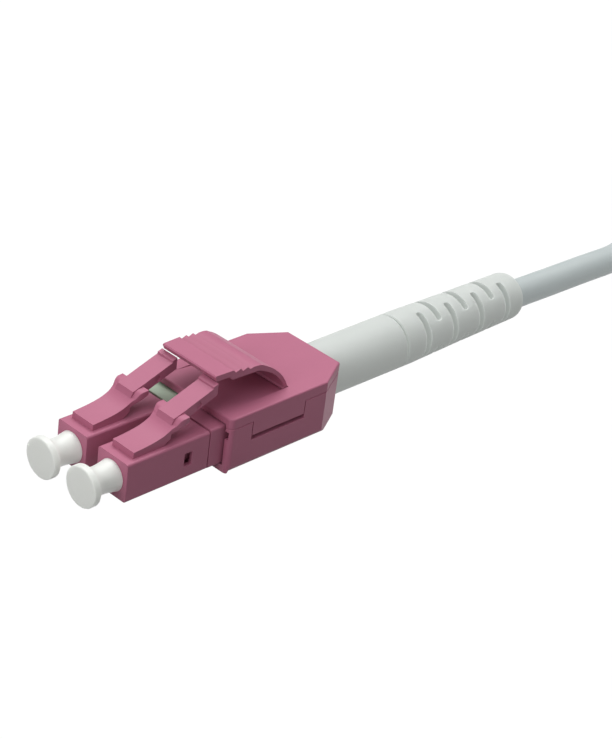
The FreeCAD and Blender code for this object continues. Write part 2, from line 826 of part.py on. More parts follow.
def slot_cut(x, middle_angle, half_angle):
    """A groove across the boot that spans an angle, with round ends."""
    outer = sleeve_rear_dia / 2 + past
    floor = slot_floor_dia / 2
    half = slot_width / 2
    corners = [V(x - half, 0, floor), V(x + half, 0, floor),
               V(x + half, 0, outer), V(x - half, 0, outer)]
    section = Part.Face(Part.makePolygon(corners + corners[:1]))
    section.rotate(V(0, 0, 0), ALONG_X, middle_angle - half_angle)
    arc = section.revolve(V(0, 0, 0), ALONG_X, 2 * half_angle)
    pieces = [arc]
    for angle in (middle_angle - half_angle, middle_angle + half_angle):
        end = Part.makeCylinder(half, outer - floor, V(x, 0, floor), ALONG_Z)
        end.rotate(V(0, 0, 0), ALONG_X, angle)
        pieces.append(end)
    whole = joined(pieces)
    whole.translate(V(0, 0, axis_height))
    return whole


def strain_boot():
    start, end = boot_front, boot_back
    outer, tip = sleeve_rear_dia / 2, boot_end_dia / 2
    bore = cable_dia / 2 + boot_air
    flare = bore + cable_sag
    spigot = sleeve_bore / 2 - boot_air
    spigot_start = start - boot_gap - boot_spigot_length
    spigot_bore = spigot - boot_spigot_wall
    round_start = end - boot_end_round
    shoulder = start + boot_taper_start / 2

    def at(x, radius):
        return V(x, 0, axis_height + radius)

    outline = wire(at(spigot_start, spigot_bore), [
        at(spigot_start, spigot),
        at(start, spigot),
        at(start, outer - boot_chamfer),
        at(start + boot_chamfer, outer),
        at(start + boot_taper_start, outer),
        at(start + boot_middle, boot_middle_dia / 2),
        at(round_start, tip),
        (at(end - 0.3 * boot_end_round, tip - 0.3 * boot_end_drop), at(end, tip - boot_end_drop)),
        at(end, flare),
        at(end - boot_flare_end, flare),
        at(end - boot_flare_length, bore),
        at(shoulder, bore),
        at(start, spigot_bore),
    ])
    body = Part.Face(outline).revolve(V(0, 0, axis_height), ALONG_X, 360)
    for row in range(slot_rows):
        x = start + slot_first + row * slot_pitch
        if row % 2 == 0:
            first, half = 90 + slot_roll, side_slot_half_angle
        else:
            first, half = slot_roll, top_slot_half_angle
        for angle in (first, first + 180):
            body = body.cut(slot_cut(x, angle, half))
    return body


# ---- Cable ----

def cable_exit():
    return boot_back, 0, axis_height - cable_sag


def cable_in_boot():
    """The jacketed end, which dips a little where the boot's bore widens."""
    path = [(cable_start(), 0, axis_height), (boot_back - cable_sag_start, 0, axis_height),
            (boot_back - cable_sag_end, 0, axis_height - cable_sag), cable_exit()]
    return tube_along(path, largest_arc, cable_dia)[0]


def free_cable():
    route = [cable_exit()] + cable_route
    solid, length = tube_along(route, largest_arc, cable_dia)
    area = math.pi * (cable_dia / 2) ** 2
    print("free cable: volume / (section x length) =", round(solid.Volume / (area * length), 5))
    for i in range(1, len(route) - 1):
        a, b, c = (V(*route[j]) for j in (i - 1, i, i + 1))
        half = (math.pi - (a - b).getAngle(c - b)) / 2
        print("  bend", i, "radius", round(largest_arc((b - a).Length, (c - b).Length, half), 1))
    return solid


def racetrack(half_width, z0, height):
    far = hank_near_centre + hank_straight
    y = hank_side
    outline = wire(V(hank_near_centre, y - half_width, z0), [
        V(far, y - half_width, z0),
        (V(far + half_width, y, z0), V(far, y + half_width, z0)),
        V(hank_near_centre, y + half_width, z0),
        (V(hank_near_centre - half_width, y, z0), V(hank_near_centre, y - half_width, z0)),
    ])
    return prism(outline, V(0, 0, height))


def hank_base():
    return cable_route[-1][2] - cable_dia / 2


def last_turn():
    """Where the cable's far end lies: the X of its cut, its middle in Y and its underside."""
    return hank_near_centre + last_turn_short, hank_side - hank_fold_radius, hank_base()


def cable_hank():
    """Two rings of turns side by side, stacked in layers, as one solid with the entering strand."""
    height = hank_layers * cable_dia
    outer = racetrack(hank_fold_radius + 1.5 * cable_dia, hank_base(), height)
    inner = racetrack(hank_fold_radius - cable_dia / 2, hank_base() - past, height + 2 * past)
    start_x, start_y, start_z = cable_route[-1]
    strand = rod(start_x, hank_near_centre, cable_dia, start_y, start_z)
    end_x, end_y, end_z = last_turn()
    past_end = box(hank_near_centre, end_x, end_y - cable_dia / 2, end_y + cable_dia,
                   end_z - past, end_z + cable_dia)
    return joined([less(outer, inner, past_end), strand])


def hank_tie():
    """Two bands, one round each long side of the hank."""
    x0 = hank_near_centre + (hank_straight - tie_width) / 2
    z0, z1 = hank_base(), hank_base() + hank_layers * cable_dia
    bands = []
    for sign in (-1, 1):
        inner = hank_side + sign * (hank_fold_radius - cable_dia / 2)
        outer = hank_side + sign * (hank_fold_radius + 1.5 * cable_dia)
        y0, y1 = sorted((inner, outer))
        t = tie_thickness
        ring = box(x0, x0 + tie_width, y0 - t, y1 + t, z0 - t, z1 + t)
        bands.append(less(ring, box(x0 - past, x0 + tie_width + past, y0, y1, z0, z1)))
    return Part.makeCompound(bands)


def bare_fibre_ends():
    """The two buffered fibres that stand out of the cable's free end."""
    x, y, under = last_turn()
    z = under + cable_dia / 2
    ends = [rod(x - bare_fibre_length, x, fibre_dia, y + sign * fibre_spread_at_crimp, z)
            for sign in (-1, 1)]
    return Part.makeCompound(ends)


def build():
    parts = {
        "shell_bottom": shell_bottom(),
        "shell_top": shell_top(),
        "trigger": trigger(),
        "crimp_body": crimp_body(),
        "crimp_ring": crimp_ring(),
        "boot_sleeve": boot_sleeve(),
        "strain_boot": strain_boot(),
        "cable_in_boot": cable_in_boot(),
        "cable": free_cable(),
        "cable_hank": cable_hank(),
        "hank_tie": hank_tie(),
        "bare_fibre_ends": bare_fibre_ends(),
    }
    per_plug = {
        "plug_housing": plug_housing,
        "latch_arm": latch_arm,
        "rear_body": rear_body,
        "ferrule": ferrule,
        "ferrule_flange": ferrule_flange,
        "ferrule_spring": ferrule_spring,
        "fibre": fibre,
        "dust_cap": dust_cap,
    }
    for name, make in per_plug.items():
        for side in SIDES:
            parts[f"{name}_{side}"] = make(side)
    return parts


os.makedirs("parts", exist_ok=True)
for node, shape in build().items():
    shape.exportStep(f"parts/{node}.step")
    print(node, len(shape.Solids), "valid" if shape.isValid() else "NOT VALID",
          round(shape.Volume, 2))
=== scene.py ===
import math

import bmesh
import bpy
from mathutils import Matrix, Vector


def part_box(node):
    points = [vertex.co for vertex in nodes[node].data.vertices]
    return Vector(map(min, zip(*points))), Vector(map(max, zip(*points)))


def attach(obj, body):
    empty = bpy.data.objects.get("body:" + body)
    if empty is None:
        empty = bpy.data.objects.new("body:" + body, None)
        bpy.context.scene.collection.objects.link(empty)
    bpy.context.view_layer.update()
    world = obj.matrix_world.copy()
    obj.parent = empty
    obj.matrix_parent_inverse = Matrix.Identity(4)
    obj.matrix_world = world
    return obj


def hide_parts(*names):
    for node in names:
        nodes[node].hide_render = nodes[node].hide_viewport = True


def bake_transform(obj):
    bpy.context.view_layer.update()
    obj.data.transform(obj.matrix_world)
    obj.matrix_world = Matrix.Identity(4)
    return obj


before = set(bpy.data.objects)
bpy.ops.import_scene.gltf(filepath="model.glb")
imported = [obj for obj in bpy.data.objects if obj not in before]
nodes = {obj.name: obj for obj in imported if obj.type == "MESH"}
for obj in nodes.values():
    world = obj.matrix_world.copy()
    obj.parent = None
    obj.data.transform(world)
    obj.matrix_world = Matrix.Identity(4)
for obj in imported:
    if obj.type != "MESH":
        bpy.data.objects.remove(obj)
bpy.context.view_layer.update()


# ---- Camera ----
# A long lens looks down on the connector from its front left corner, as a person seated at a
# bench does. It is held a little askew.

CAMERA_AIM = Vector((0.008719, 0.000359, 0.00358))
CAMERA_AZIMUTH = math.radians(-48.83)
CAMERA_ELEVATION = math.radians(29.557)
CAMERA_ROLL = math.radians(7.747)
CAMERA_DISTANCE = 0.222817
CAMERA_LENS = 98.83        # mm
SENSOR_WIDTH = 36          # mm
CLIP_START = 0.01

back = Vector((math.sin(CAMERA_AZIMUTH) * math.cos(CAMERA_ELEVATION),
               -math.cos(CAMERA_AZIMUTH) * math.cos(CAMERA_ELEVATION),
               math.sin(CAMERA_ELEVATION)))
level = Vector((math.cos(CAMERA_AZIMUTH), math.sin(CAMERA_AZIMUTH), 0))
upright = back.cross(level)
across = level * math.cos(CAMERA_ROLL) + upright * math.sin(CAMERA_ROLL)
upward = upright * math.cos(CAMERA_ROLL) - level * math.sin(CAMERA_ROLL)
camera_data = bpy.data.cameras.new("camera")
camera_data.lens = CAMERA_LENS
camera_data.sensor_width = SENSOR_WIDTH
camera_data.clip_start = CLIP_START
camera = bpy.data.objects.new("camera", camera_data)
turn = Matrix((across, upward, back)).transposed()
camera.matrix_world = Matrix.Translation(CAMERA_AIM + back * CAMERA_DISTANCE) @ turn.to_4x4()
bpy.context.collection.objects.link(camera)
bpy.context.scene.camera = camera


# ---- Light and floor ----
# White paper under three soft boxes: a long one above and behind, a low one before the ferrule
# end, and a thin strip along the near side. The paper shows white but sends back little light,
# so that the sides of the connector stay darker than its tops.

def linear(sheet_hex):
    """An sRGB hex colour as linear RGBA."""
    values = [int(sheet_hex[i:i + 2], 16) / 255 for i in (1, 3, 5)]
    return [v / 12.92 if v <= 0.04045 else ((v + 0.055) / 1.055) ** 2.4 for v in values] + [1]


def add_node(tree, kind, settings, sockets):
    """Adds a node with its settings. A socket takes a value, or the output linked to it."""
    node = tree.nodes.new(kind)
    for name, value in settings.items():
        setattr(node, name, value)
    for name, value in sockets.items():
        if isinstance(value, bpy.types.NodeSocket):
            tree.links.new(value, node.inputs[name])
        else:
            node.inputs[name].default_value = value
    return node


def soft_box(name, place, width, depth, power):
    """A rectangular lamp turned towards the connector."""
    data = bpy.data.lights.new(name, "AREA")
    data.shape = "RECTANGLE"
    data.size = width
    data.size_y = depth
    data.energy = power
    lamp = bpy.data.objects.new(name, data)
    lamp.location = place
    lamp.rotation_euler = (-Vector(place)).to_track_quat("-Z", "Y").to_euler()
    bpy.context.collection.objects.link(lamp)


soft_box("overhead_box", (0.16, 0.13, 0.36), width=0.44, depth=0.18, power=1.20)
soft_box("front_box", (-0.36, -0.03, 0.16), width=0.24, depth=0.24, power=0.56)
soft_box("edge_strip", (0.10, -0.30, 0.26), width=0.30, depth=0.05, power=0.03)

# The ceiling is bright and the walls are dim, so tops stay clear of the sides.
WALL_STRENGTH = 0.02
CEILING_STRENGTH = 0.76

scene = bpy.context.scene
scene.view_settings.view_transform = "Standard"
world = bpy.data.worlds.new("white_room")
world.use_nodes = True
scene.world = world
tree = world.node_tree
tree.nodes.clear()
way = add_node(tree, "ShaderNodeTexCoord", {}, {})
way = add_node(tree, "ShaderNodeSeparateXYZ", {}, {0: way.outputs["Generated"]})
ceiling = add_node(tree, "ShaderNodeMapRange", {}, {
    "Value": way.outputs[2], "From Min": 0.0, "To Min": WALL_STRENGTH,
    "To Max": CEILING_STRENGTH})
room = add_node(tree, "ShaderNodeBackground", {}, {
    "Color": linear("#FFFFFF"), "Strength": ceiling.outputs[0]})
white = add_node(tree, "ShaderNodeBackground", {}, {
    "Color": linear("#FFFFFF"), "Strength": 1.0})
path = add_node(tree, "ShaderNodeLightPath", {}, {})
mix = add_node(tree, "ShaderNodeMixShader", {}, {
    0: path.outputs["Is Camera Ray"], 1: room.outputs[0], 2: white.outputs[0]})
add_node(tree, "ShaderNodeOutputWorld", {}, {"Surface": mix.outputs[0]})


def primitive(name, add, **settings):
    """Adds a primitive with nothing else selected, names it and puts its place in its mesh."""
    bpy.ops.object.select_all(action="DESELECT")
    add(**settings)
    bpy.ops.object.transform_apply(location=True, rotation=True, scale=True)
    piece = bpy.context.object
    piece.name = name
    return piece


FLOOR_SIZE = 3.0
PAPER_GLOW = 1.12
GLOW_SHARE = 0.9           # the rest is the grey that takes the connector's shadow
table_top = primitive("table_top", bpy.ops.mesh.primitive_plane_add, size=FLOOR_SIZE)
# Matt white paper: no gloss and no grain at this distance, only the soft shadow on it.
paper = bpy.data.materials.new("white_paper")
paper.use_nodes = True
tree = paper.node_tree
tree.nodes.clear()
path = add_node(tree, "ShaderNodeLightPath", {}, {})
straight = add_node(tree, "ShaderNodeMath", {"operation": "MAXIMUM"}, {
    0: path.outputs["Is Camera Ray"], 1: path.outputs["Is Glossy Ray"]})
straight = add_node(tree, "ShaderNodeMath", {"operation": "MAXIMUM"}, {
    0: straight.outputs[0], 1: path.outputs["Is Transmission Ray"]})
share = add_node(tree, "ShaderNodeMath", {"operation": "MULTIPLY"}, {
    0: straight.outputs[0], 1: GLOW_SHARE})
sheet = add_node(tree, "ShaderNodeBsdfDiffuse", {}, {"Color": linear("#666664")})
glow = add_node(tree, "ShaderNodeEmission", {}, {
    "Color": linear("#FFFFFF"), "Strength": PAPER_GLOW})
mix = add_node(tree, "ShaderNodeMixShader", {}, {
    0: share.outputs[0], 1: sheet.outputs[0], 2: glow.outputs[0]})
add_node(tree, "ShaderNodeOutputMaterial", {}, {"Surface": mix.outputs[0]})
table_top.data.materials.append(paper)


# ---- Cable and its hank ----
# A round 3.5 mm cable with a satin pale grey jacket, which leaves the boot level, bows a little
# under its weight and is wound away as a flat hank of seven and a half turns, four layers high.

def base_finish(name, colour, roughness, metallic=0.0, ior=1.5):
    """A material with its Principled shader, its node tree and object coordinates."""
    finish = bpy.data.materials.new(name)
    finish.use_nodes = True
    tree = finish.node_tree
    shader = tree.nodes["Principled BSDF"]
    shader.inputs["Base Color"].default_value = linear(colour)
    shader.inputs["Roughness"].default_value = roughness
    shader.inputs["Metallic"].default_value = metallic
    shader.inputs["IOR"].default_value = ior
    place = add_node(tree, "ShaderNodeTexCoord", {}, {})
    return finish, tree, shader, place.outputs["Object"]


def dress(finish, *names):
    """Gives a finish to CAD solids whose shape stays as it is."""
    for name in names:
        solid = nodes[name].data
        solid.materials.clear()
        solid.materials.append(finish)


# The sizes of grain given below are coarser than the real 0.05 mm or so, so that it shows.
MOULD_CLOUD = 0.0025       # broad, faint unevenness of a moulding's colour
MOULD_RELIEF = 0.00001     # depth of the grain
RELIEF_STRENGTH = 0.35
GLOSS_SPREAD = 0.06        # roughness varies by this much either way, with the grain
SOAK_DEPTH = 0.0006        # how far light soaks into a milky plastic


def moulding(name, colour, roughness, grain, depth=MOULD_RELIEF, mottle=0.03, soak_and_painted_glow=0.0,
             sheen=0.5):
    """A moulded plastic: even colour, fine spark-eroded grain and a gloss that varies with it."""
    finish, tree, shader, place = base_finish(name, colour, roughness)
    cloud = add_node(tree, "ShaderNodeTexNoise", {}, {"Vector": place, "Scale": 1 / MOULD_CLOUD})
    low = [c * (1 - mottle) for c in linear(colour)[:3]] + [1]
    high = [min(c * (1 + mottle), 1) for c in linear(colour)[:3]] + [1]
    tone = add_node(tree, "ShaderNodeMix", {"data_type": "RGBA"}, {
        0: cloud.outputs[0], 6: low, 7: high})
    pores = add_node(tree, "ShaderNodeTexNoise", {}, {
        "Vector": place, "Scale": 1 / grain, "Detail": 3.0, "Roughness": 0.6})
    gloss = add_node(tree, "ShaderNodeMapRange", {}, {
        "Value": pores.outputs[0], "To Min": roughness - GLOSS_SPREAD,
        "To Max": roughness + GLOSS_SPREAD})
    relief = add_node(tree, "ShaderNodeBump", {}, {
        "Height": pores.outputs[0], "Strength": RELIEF_STRENGTH, "Distance": depth})
    for socket, source in (("Base Color", tone.outputs[2]), ("Roughness", gloss.outputs[0]),
                           ("Normal", relief.outputs[0])):
        tree.links.new(source, shader.inputs[socket])
    shader.inputs["Specular IOR Level"].default_value = sheen
    if soak_and_painted_glow:
        # Light soaks through the pale walls, and a painted glow in their own colour keeps their
        # shaded undersides and slots light.
        shader.inputs["Subsurface Weight"].default_value = 1.0
        shader.inputs["Subsurface Radius"].default_value = (1.0, 1.0, 1.0)
        shader.inputs["Subsurface Scale"].default_value = SOAK_DEPTH
        # Painted glow: the surface gives off light in its own colour, which lightens its shade.
        shader.inputs["Emission Color"].default_value = linear(colour)
        shader.inputs["Emission Strength"].default_value = soak_and_painted_glow
    return finish


CABLE_DIA = 0.0035
CABLE_ROUTE = [
    (0.04367, 0.0, 0.00275),
    (0.04600, 0.0, 0.00275),
    (0.05000, 0.0, 0.00260),
    (0.05460, 0.0, 0.00250),
    (0.05960, 0.0, 0.00238),
    (0.06490, 0.0, 0.00214),
    (0.06937, 0.00107, 0.00205),
    (0.07345, 0.00319, 0.00205),
    (0.07792, 0.00425, 0.00205),
    (0.08240, 0.00425, 0.00205),
]
HANK_NEAR = 0.0930         # X of the middle of the near folds
HANK_STRAIGHT = 0.0221
HANK_SIDE = -0.01025       # Y of the hank's middle
HANK_INNER = 0.0110        # fold radius of the inner ring of turns, on the centre line
HANK_LAYERS = 4
LAST_TURN_SHORT = 0.008    # the last turn stops this far short of its fold
FOLD_POINTS = 8
# Points on a circle pull a curve of order 3 inside it by this much.
FOLD_REACH = 1 / (0.75 + 0.25 * math.cos(math.pi / FOLD_POINTS))


def hank_points():
    """The outer turns climb layer by layer, and the inner turns come down again."""
    outer, inner = HANK_INNER + CABLE_DIA, HANK_INNER
    low = CABLE_ROUTE[-1][2]
    climb = [(outer, layer) for layer in range(HANK_LAYERS)]
    turns = climb + [(inner, layer) for layer in reversed(range(HANK_LAYERS))]
    far = HANK_NEAR + HANK_STRAIGHT
    points = []
    for place, (radius, layer) in enumerate(turns):
        z = low + layer * CABLE_DIA
        for x in (HANK_NEAR, (HANK_NEAR + far) / 2):
            points.append((x, HANK_SIDE + radius, z))
        for step in range(FOLD_POINTS + 1):
            angle = math.pi * (0.5 - step / FOLD_POINTS)
            reach = radius * (FOLD_REACH if 0 < step < FOLD_POINTS else 1)
            points.append((far + reach * math.cos(angle), HANK_SIDE + reach * math.sin(angle), z))
        if place == len(turns) - 1:
            points.append((HANK_NEAR + LAST_TURN_SHORT, HANK_SIDE - radius, z))
            break
        points.append(((HANK_NEAR + far) / 2, HANK_SIDE - radius, z))
        next_radius, next_layer = turns[place + 1]
        for step in range(FOLD_POINTS):
            share = step / FOLD_POINTS
            angle = -math.pi * (0.5 + share)
            reach = (radius + (next_radius - radius) * share) * (FOLD_REACH if step else 1)
            rise = (next_layer - layer) * share * CABLE_DIA
            points.append((HANK_NEAR + reach * math.cos(angle),
                           HANK_SIDE + reach * math.sin(angle), z + rise))
    return points


cable_data = bpy.data.curves.new("cable", "CURVE")
cable_data.dimensions = "3D"
line = cable_data.splines.new("NURBS")
cable_points = CABLE_ROUTE + hank_points()
line.points.add(len(cable_points) - 1)
for point, place in zip(line.points, cable_points):
    point.co = (*place, 1)
    point.radius = CABLE_DIA / 2
line.order_u = 3
line.use_endpoint_u = True
line.resolution_u = 6
cable_data.bevel_depth = 1.0       # times each point's radius
cable_data.bevel_resolution = 8
cable_data.use_fill_caps = True
pigtail = bpy.data.objects.new("pigtail_cable", cable_data)
bpy.context.collection.objects.link(pigtail)
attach(pigtail, "connector")
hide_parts("cable", "cable_hank")
# Low-smoke jacket: extruded pale grey polyolefin, satin, faintly uneven and a little milky, with a
# painted glow that lightens its shade.
jacket = moulding("low_smoke_jacket", "#9CA3A3", roughness=0.5, grain=0.0003, mottle=0.02,
                  soak_and_painted_glow=0.48)
pigtail.data.materials.append(jacket)
dress(jacket, "cable_in_boot")


# ---- Ferrules, flanges, springs and fibres ----
# Ground zirconia ferrules pressed into turned and nickelled flanges, each with a stainless spring
# behind it. Two tight-buffered fibres run back from them. All of it hides inside the plugs.

SIDES = ("left", "right")


def pair(name):
    """The names of a solid's left and right copies."""
    return [f"{name}_{side}" for side in SIDES]


def take(piece):
    """Selects one piece alone, for the operators to act on."""
    bpy.ops.object.select_all(action="DESELECT")
    piece.select_set(True)
    bpy.context.view_layer.objects.active = piece


def apply_modifier(piece, kind, **settings):
    """Puts one modifier on a piece and applies it."""
    take(piece)
    step = piece.modifiers.new(kind.lower(), kind)
    for name, value in settings.items():
        setattr(step, name, value)
    bpy.ops.object.modifier_apply(modifier=step.name)


def face_outwards():
    """Turns every face of the mesh in edit mode outwards, and leaves edit mode."""
    bpy.ops.mesh.select_all(action="SELECT")
    bpy.ops.mesh.normals_make_consistent(inside=False)
    bpy.ops.object.mode_set(mode="OBJECT")


def mount(piece, finish, slot, body, *solids):
    """Fixes a finished piece to its body, in place of the solids that it stands for."""
    piece.data.materials.clear()
    piece.data.materials.append(finish)
    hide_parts(*solids)
    if body:
        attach(piece, body)


# Zirconia: a dense white ceramic with a wet gloss. Fine grinding marks just break its highlights.
GRINDING = 0.00008
zirconia, tree, shader, place = base_finish("zirconia", "#EDEBE4", 0.12, ior=2.1)
marks = add_node(tree, "ShaderNodeTexNoise", {}, {"Vector": place, "Scale": 1 / GRINDING})
gloss = add_node(tree, "ShaderNodeMapRange", {}, {
    "Value": marks.outputs[0], "To Min": 0.08, "To Max": 0.2})
tree.links.new(gloss.outputs[0], shader.inputs["Roughness"])
shader.inputs["Subsurface Weight"].default_value = 0.2
shader.inputs["Subsurface Scale"].default_value = 0.0004
dress(zirconia, *pair("ferrule"))

# Nickelled brass: pale grey metal with faint rings round its axis left by the lathe tool.
TOOL_FEED = 0.0001         # spacing of the rings over 2 pi, coarser than real so that it shows
RING_DEPTH = 0.00001
WAVE_SCALE = 20            # radians that a wave texture of scale 1 runs through in a metre
nickel, tree, shader, place = base_finish("nickelled_brass", "#B9B5AA", 0.28, metallic=1.0)
rings = add_node(tree, "ShaderNodeTexWave", {"bands_direction": "X"}, {
    "Vector": place, "Scale": 1 / (WAVE_SCALE * TOOL_FEED), "Distortion": 0.5})
ridges = add_node(tree, "ShaderNodeBump", {}, {
    "Height": rings.outputs[1], "Strength": 0.3, "Distance": RING_DEPTH})
tree.links.new(ridges.outputs[0], shader.inputs["Normal"])
dress(nickel, *pair("ferrule_flange"), "crimp_body", "crimp_ring")

# Spring steel: drawn stainless wire, bright with slight streaks.
WIRE_STREAK = 0.00012
wire, tree, shader, place = base_finish("drawn_stainless", "#A8A8A6", 0.25, metallic=1.0)
streaks = add_node(tree, "ShaderNodeTexNoise", {}, {"Vector": place, "Scale": 1 / WIRE_STREAK})
gloss = add_node(tree, "ShaderNodeMapRange", {}, {
    "Value": streaks.outputs[0], "To Min": 0.18, "To Max": 0.36})
tree.links.new(gloss.outputs[0], shader.inputs["Roughness"])

SPRING_WIRE = 0.00025
SPRING_TURNS = 5.5
SPRING_STEPS = 132         # over all the turns
WIRE_SIDES = 12


def compression_spring(side):
    """A round section wound along a screw line, at one length; the real one shortens as its
    ferrule floats back.
    """
    low, high = (Vector(corner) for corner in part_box(f"ferrule_spring_{side}"))
    middle = (low + high) / 2
    mean_radius = (high.z - low.z - SPRING_WIRE) / 2
    spring = primitive(f"compression_spring_{side}", bpy.ops.mesh.primitive_circle_add,
                       vertices=WIRE_SIDES, radius=SPRING_WIRE / 2, fill_type="NOTHING",
                       location=(0, 0, -mean_radius), rotation=(math.pi / 2, 0, 0))
    apply_modifier(spring, "SCREW", axis="X", angle=2 * math.pi * SPRING_TURNS,
                   screw_offset=high.x - low.x - SPRING_WIRE, steps=SPRING_STEPS,
                   render_steps=SPRING_STEPS, use_smooth_shade=True)
    bpy.ops.object.mode_set(mode="EDIT")
    bpy.ops.mesh.select_all(action="SELECT")
    bpy.ops.mesh.fill_holes(sides=0)
    face_outwards()
    spring.location = (low.x + SPRING_WIRE / 2, middle.y, middle.z)
    bpy.ops.object.transform_apply(location=True, rotation=False, scale=False)
    mount(spring, wire, "spring_steel", None, f"ferrule_spring_{side}")
    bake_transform(spring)


for side in SIDES:
    compression_spring(side)

# Tight buffer: extruded polymer round each fibre, smooth and slightly cloudy.
BUFFER_CLOUD = 0.0008
buffer, tree, shader, place = base_finish("tight_buffer", "#E4E2D6", 0.35)
cloud = add_node(tree, "ShaderNodeTexNoise", {}, {"Vector": place, "Scale": 1 / BUFFER_CLOUD})
tone = add_node(tree, "ShaderNodeMix", {"data_type": "RGBA"}, {
    0: cloud.outputs[0], 6: linear("#DEDBCC"), 7: linear("#EBE9E0")})
tree.links.new(tone.outputs[2], shader.inputs["Base Color"])
dress(buffer, *pair("fibre"), "bare_fibre_ends")


# ---- Plug housings ----
# Square glass-filled polyester mouldings with softly rounded edges. Each has a round mouth for
# the ferrule, a window through both sides, and the foot of its latch on top.

def outline_block(name, outline, along):
    """A block drawn from a disc with one corner for each point of its outline, then extruded."""
    block = primitive(name, bpy.ops.mesh.primitive_circle_add, vertices=len(outline),
                      fill_type="NGON")
    for corner, place in zip(block.data.vertices, outline):
        corner.co = place
    bpy.ops.object.mode_set(mode="EDIT")
    bpy.ops.mesh.select_all(action="SELECT")
    bpy.ops.mesh.extrude_region_move(TRANSFORM_OT_translate={"value": along})
    face_outwards()
    return block


def cube_block(name, low, high):
    """A cube set to fill the space between two corners."""
    return primitive(name, bpy.ops.mesh.primitive_cube_add, size=1,
                     location=[(a + b) / 2 for a, b in zip(low, high)],
                     scale=[b - a for a, b in zip(low, high)])


def round_pin(name, radius, start, end, sides=48):
    """A cylinder between two points that lie on one axis."""
    line = Vector(end) - Vector(start)
    return primitive(name, bpy.ops.mesh.primitive_cylinder_add, vertices=sides, radius=radius,
                     depth=line.length, location=(Vector(start) + Vector(end)) / 2,
                     rotation=line.to_track_quat("Z", "Y").to_euler())


def shape(piece, operation, *tools):
    """Cuts tools from a piece, joins them to it, or keeps what they share. It uses them up."""
    for tool in tools:
        apply_modifier(piece, "BOOLEAN", operation=operation, object=tool, solver="EXACT")
        bpy.data.objects.remove(tool)


def round_edges(piece, radius, segments, chosen):
    """Bevels the edges that a test picks out by their middle and their direction."""
    take(piece)
    bpy.ops.object.mode_set(mode="EDIT")
    bpy.ops.mesh.select_mode(type="EDGE")
    bpy.ops.mesh.select_all(action="DESELECT")
    mesh = bmesh.from_edit_mesh(piece.data)
    for edge in mesh.edges:
        a, b = (v.co for v in edge.verts)
        edge.select = chosen((a + b) / 2, (b - a).normalized())
    bmesh.update_edit_mesh(piece.data)
    bpy.ops.mesh.bevel(offset=radius, segments=segments, affect="EDGES")
    bpy.ops.object.mode_set(mode="OBJECT")


MERGE_DISTANCE = 0.000002
FLAT_ANGLE = math.radians(0.5)     # faces that meet at less than this are one face
SMOOTH_ANGLE = math.radians(40)


def soften(piece, width, segments=3, angle=35):
    """Rounds every sharp edge as the mould does. Roundings are shaded smooth, and faces flat."""
    take(piece)
    bpy.ops.object.mode_set(mode="EDIT")
    bpy.ops.mesh.select_all(action="SELECT")
    bpy.ops.mesh.remove_doubles(threshold=MERGE_DISTANCE)
    bpy.ops.mesh.dissolve_limited(angle_limit=FLAT_ANGLE)
    bpy.ops.object.mode_set(mode="OBJECT")
    apply_modifier(piece, "BEVEL", width=width, segments=segments, limit_method="ANGLE",
                   angle_limit=math.radians(angle), use_clamp_overlap=True)
    bpy.ops.object.shade_smooth_by_angle(angle=SMOOTH_ANGLE)
    apply_modifier(piece, "WEIGHTED_NORMAL", mode="FACE_AREA", weight=60, keep_sharp=True)


# Heather violet polyester: an even, dusty colour with a low satin gloss from the eroded mould.
violet = moulding("heather_violet_polyester", "#B66C86", roughness=0.46, grain=0.00022,
                  sheen=0.25)

FRONT_X = -0.0221
AXIS_Z = 0.0032
PLUG_Y = {"left": -0.003125, "right": 0.003125}
PLUG_LENGTH = 0.011
PLUG_HALF = 0.00225
PLUG_EDGE = 0.0003
MOUTH_RADIUS = 0.00165
MOUTH_DEPTH = 0.0045
CAVITY_RADIUS = 0.00185
BEAD_RADIUS = 0.00195      # the rear body's snap bead, which clicks into the housing
BEAD_GROOVE = (0.00105, 0.00055)   # start and end of its groove, ahead of the housing's back
SNUG = 0.00005             # air between parts that fit closely
WINDOW_START = 0.0077
WINDOW_LENGTH = 0.001
WINDOW_HALF_HEIGHT = 0.00078
HOUSING_ROUNDING = 0.00007
CLEAR = 0.001              # tools run this far past what they cut
ALONG = 0.9                # an edge runs along an axis if this much of its direction does
plug_top = AXIS_Z + PLUG_HALF


def plug_housing(side):
    """A bar with rounded long edges, bored from both ends and cut through by its window."""
    y = PLUG_Y[side]
    back = FRONT_X + PLUG_LENGTH
    body = cube_block(f"housing_{side}", (FRONT_X, y - PLUG_HALF, AXIS_Z - PLUG_HALF),
                      (back, y + PLUG_HALF, plug_top))
    round_edges(body, PLUG_EDGE, 4, lambda middle, along: abs(along.x) > ALONG)
    window_x = FRONT_X + WINDOW_START
    shape(body, "DIFFERENCE",
          round_pin("mouth", MOUTH_RADIUS, (FRONT_X - CLEAR, y, AXIS_Z),
                    (FRONT_X + MOUTH_DEPTH + CLEAR, y, AXIS_Z)),
          round_pin("cavity", CAVITY_RADIUS, (FRONT_X + MOUTH_DEPTH, y, AXIS_Z),
                    (back + CLEAR, y, AXIS_Z)),
          round_pin("bead_groove", BEAD_RADIUS + SNUG, (back - BEAD_GROOVE[0], y, AXIS_Z),
                    (back - BEAD_GROOVE[1], y, AXIS_Z)),
          cube_block("window", (window_x, y - PLUG_HALF - CLEAR, AXIS_Z - WINDOW_HALF_HEIGHT),
                     (window_x + WINDOW_LENGTH, y + PLUG_HALF + CLEAR,
                      AXIS_Z + WINDOW_HALF_HEIGHT)))
    soften(body, HOUSING_ROUNDING)
    mount(body, violet, "violet_housing", "connector", f"plug_housing_{side}")


for side in SIDES:
    plug_housing(side)


# ---- Latches ----
# Each latch is one springy tongue moulded with its plug: a low foot, a sweep and a short riser,
# two wings that catch behind the adapter's window, and an arm that ends in a thumb rib.

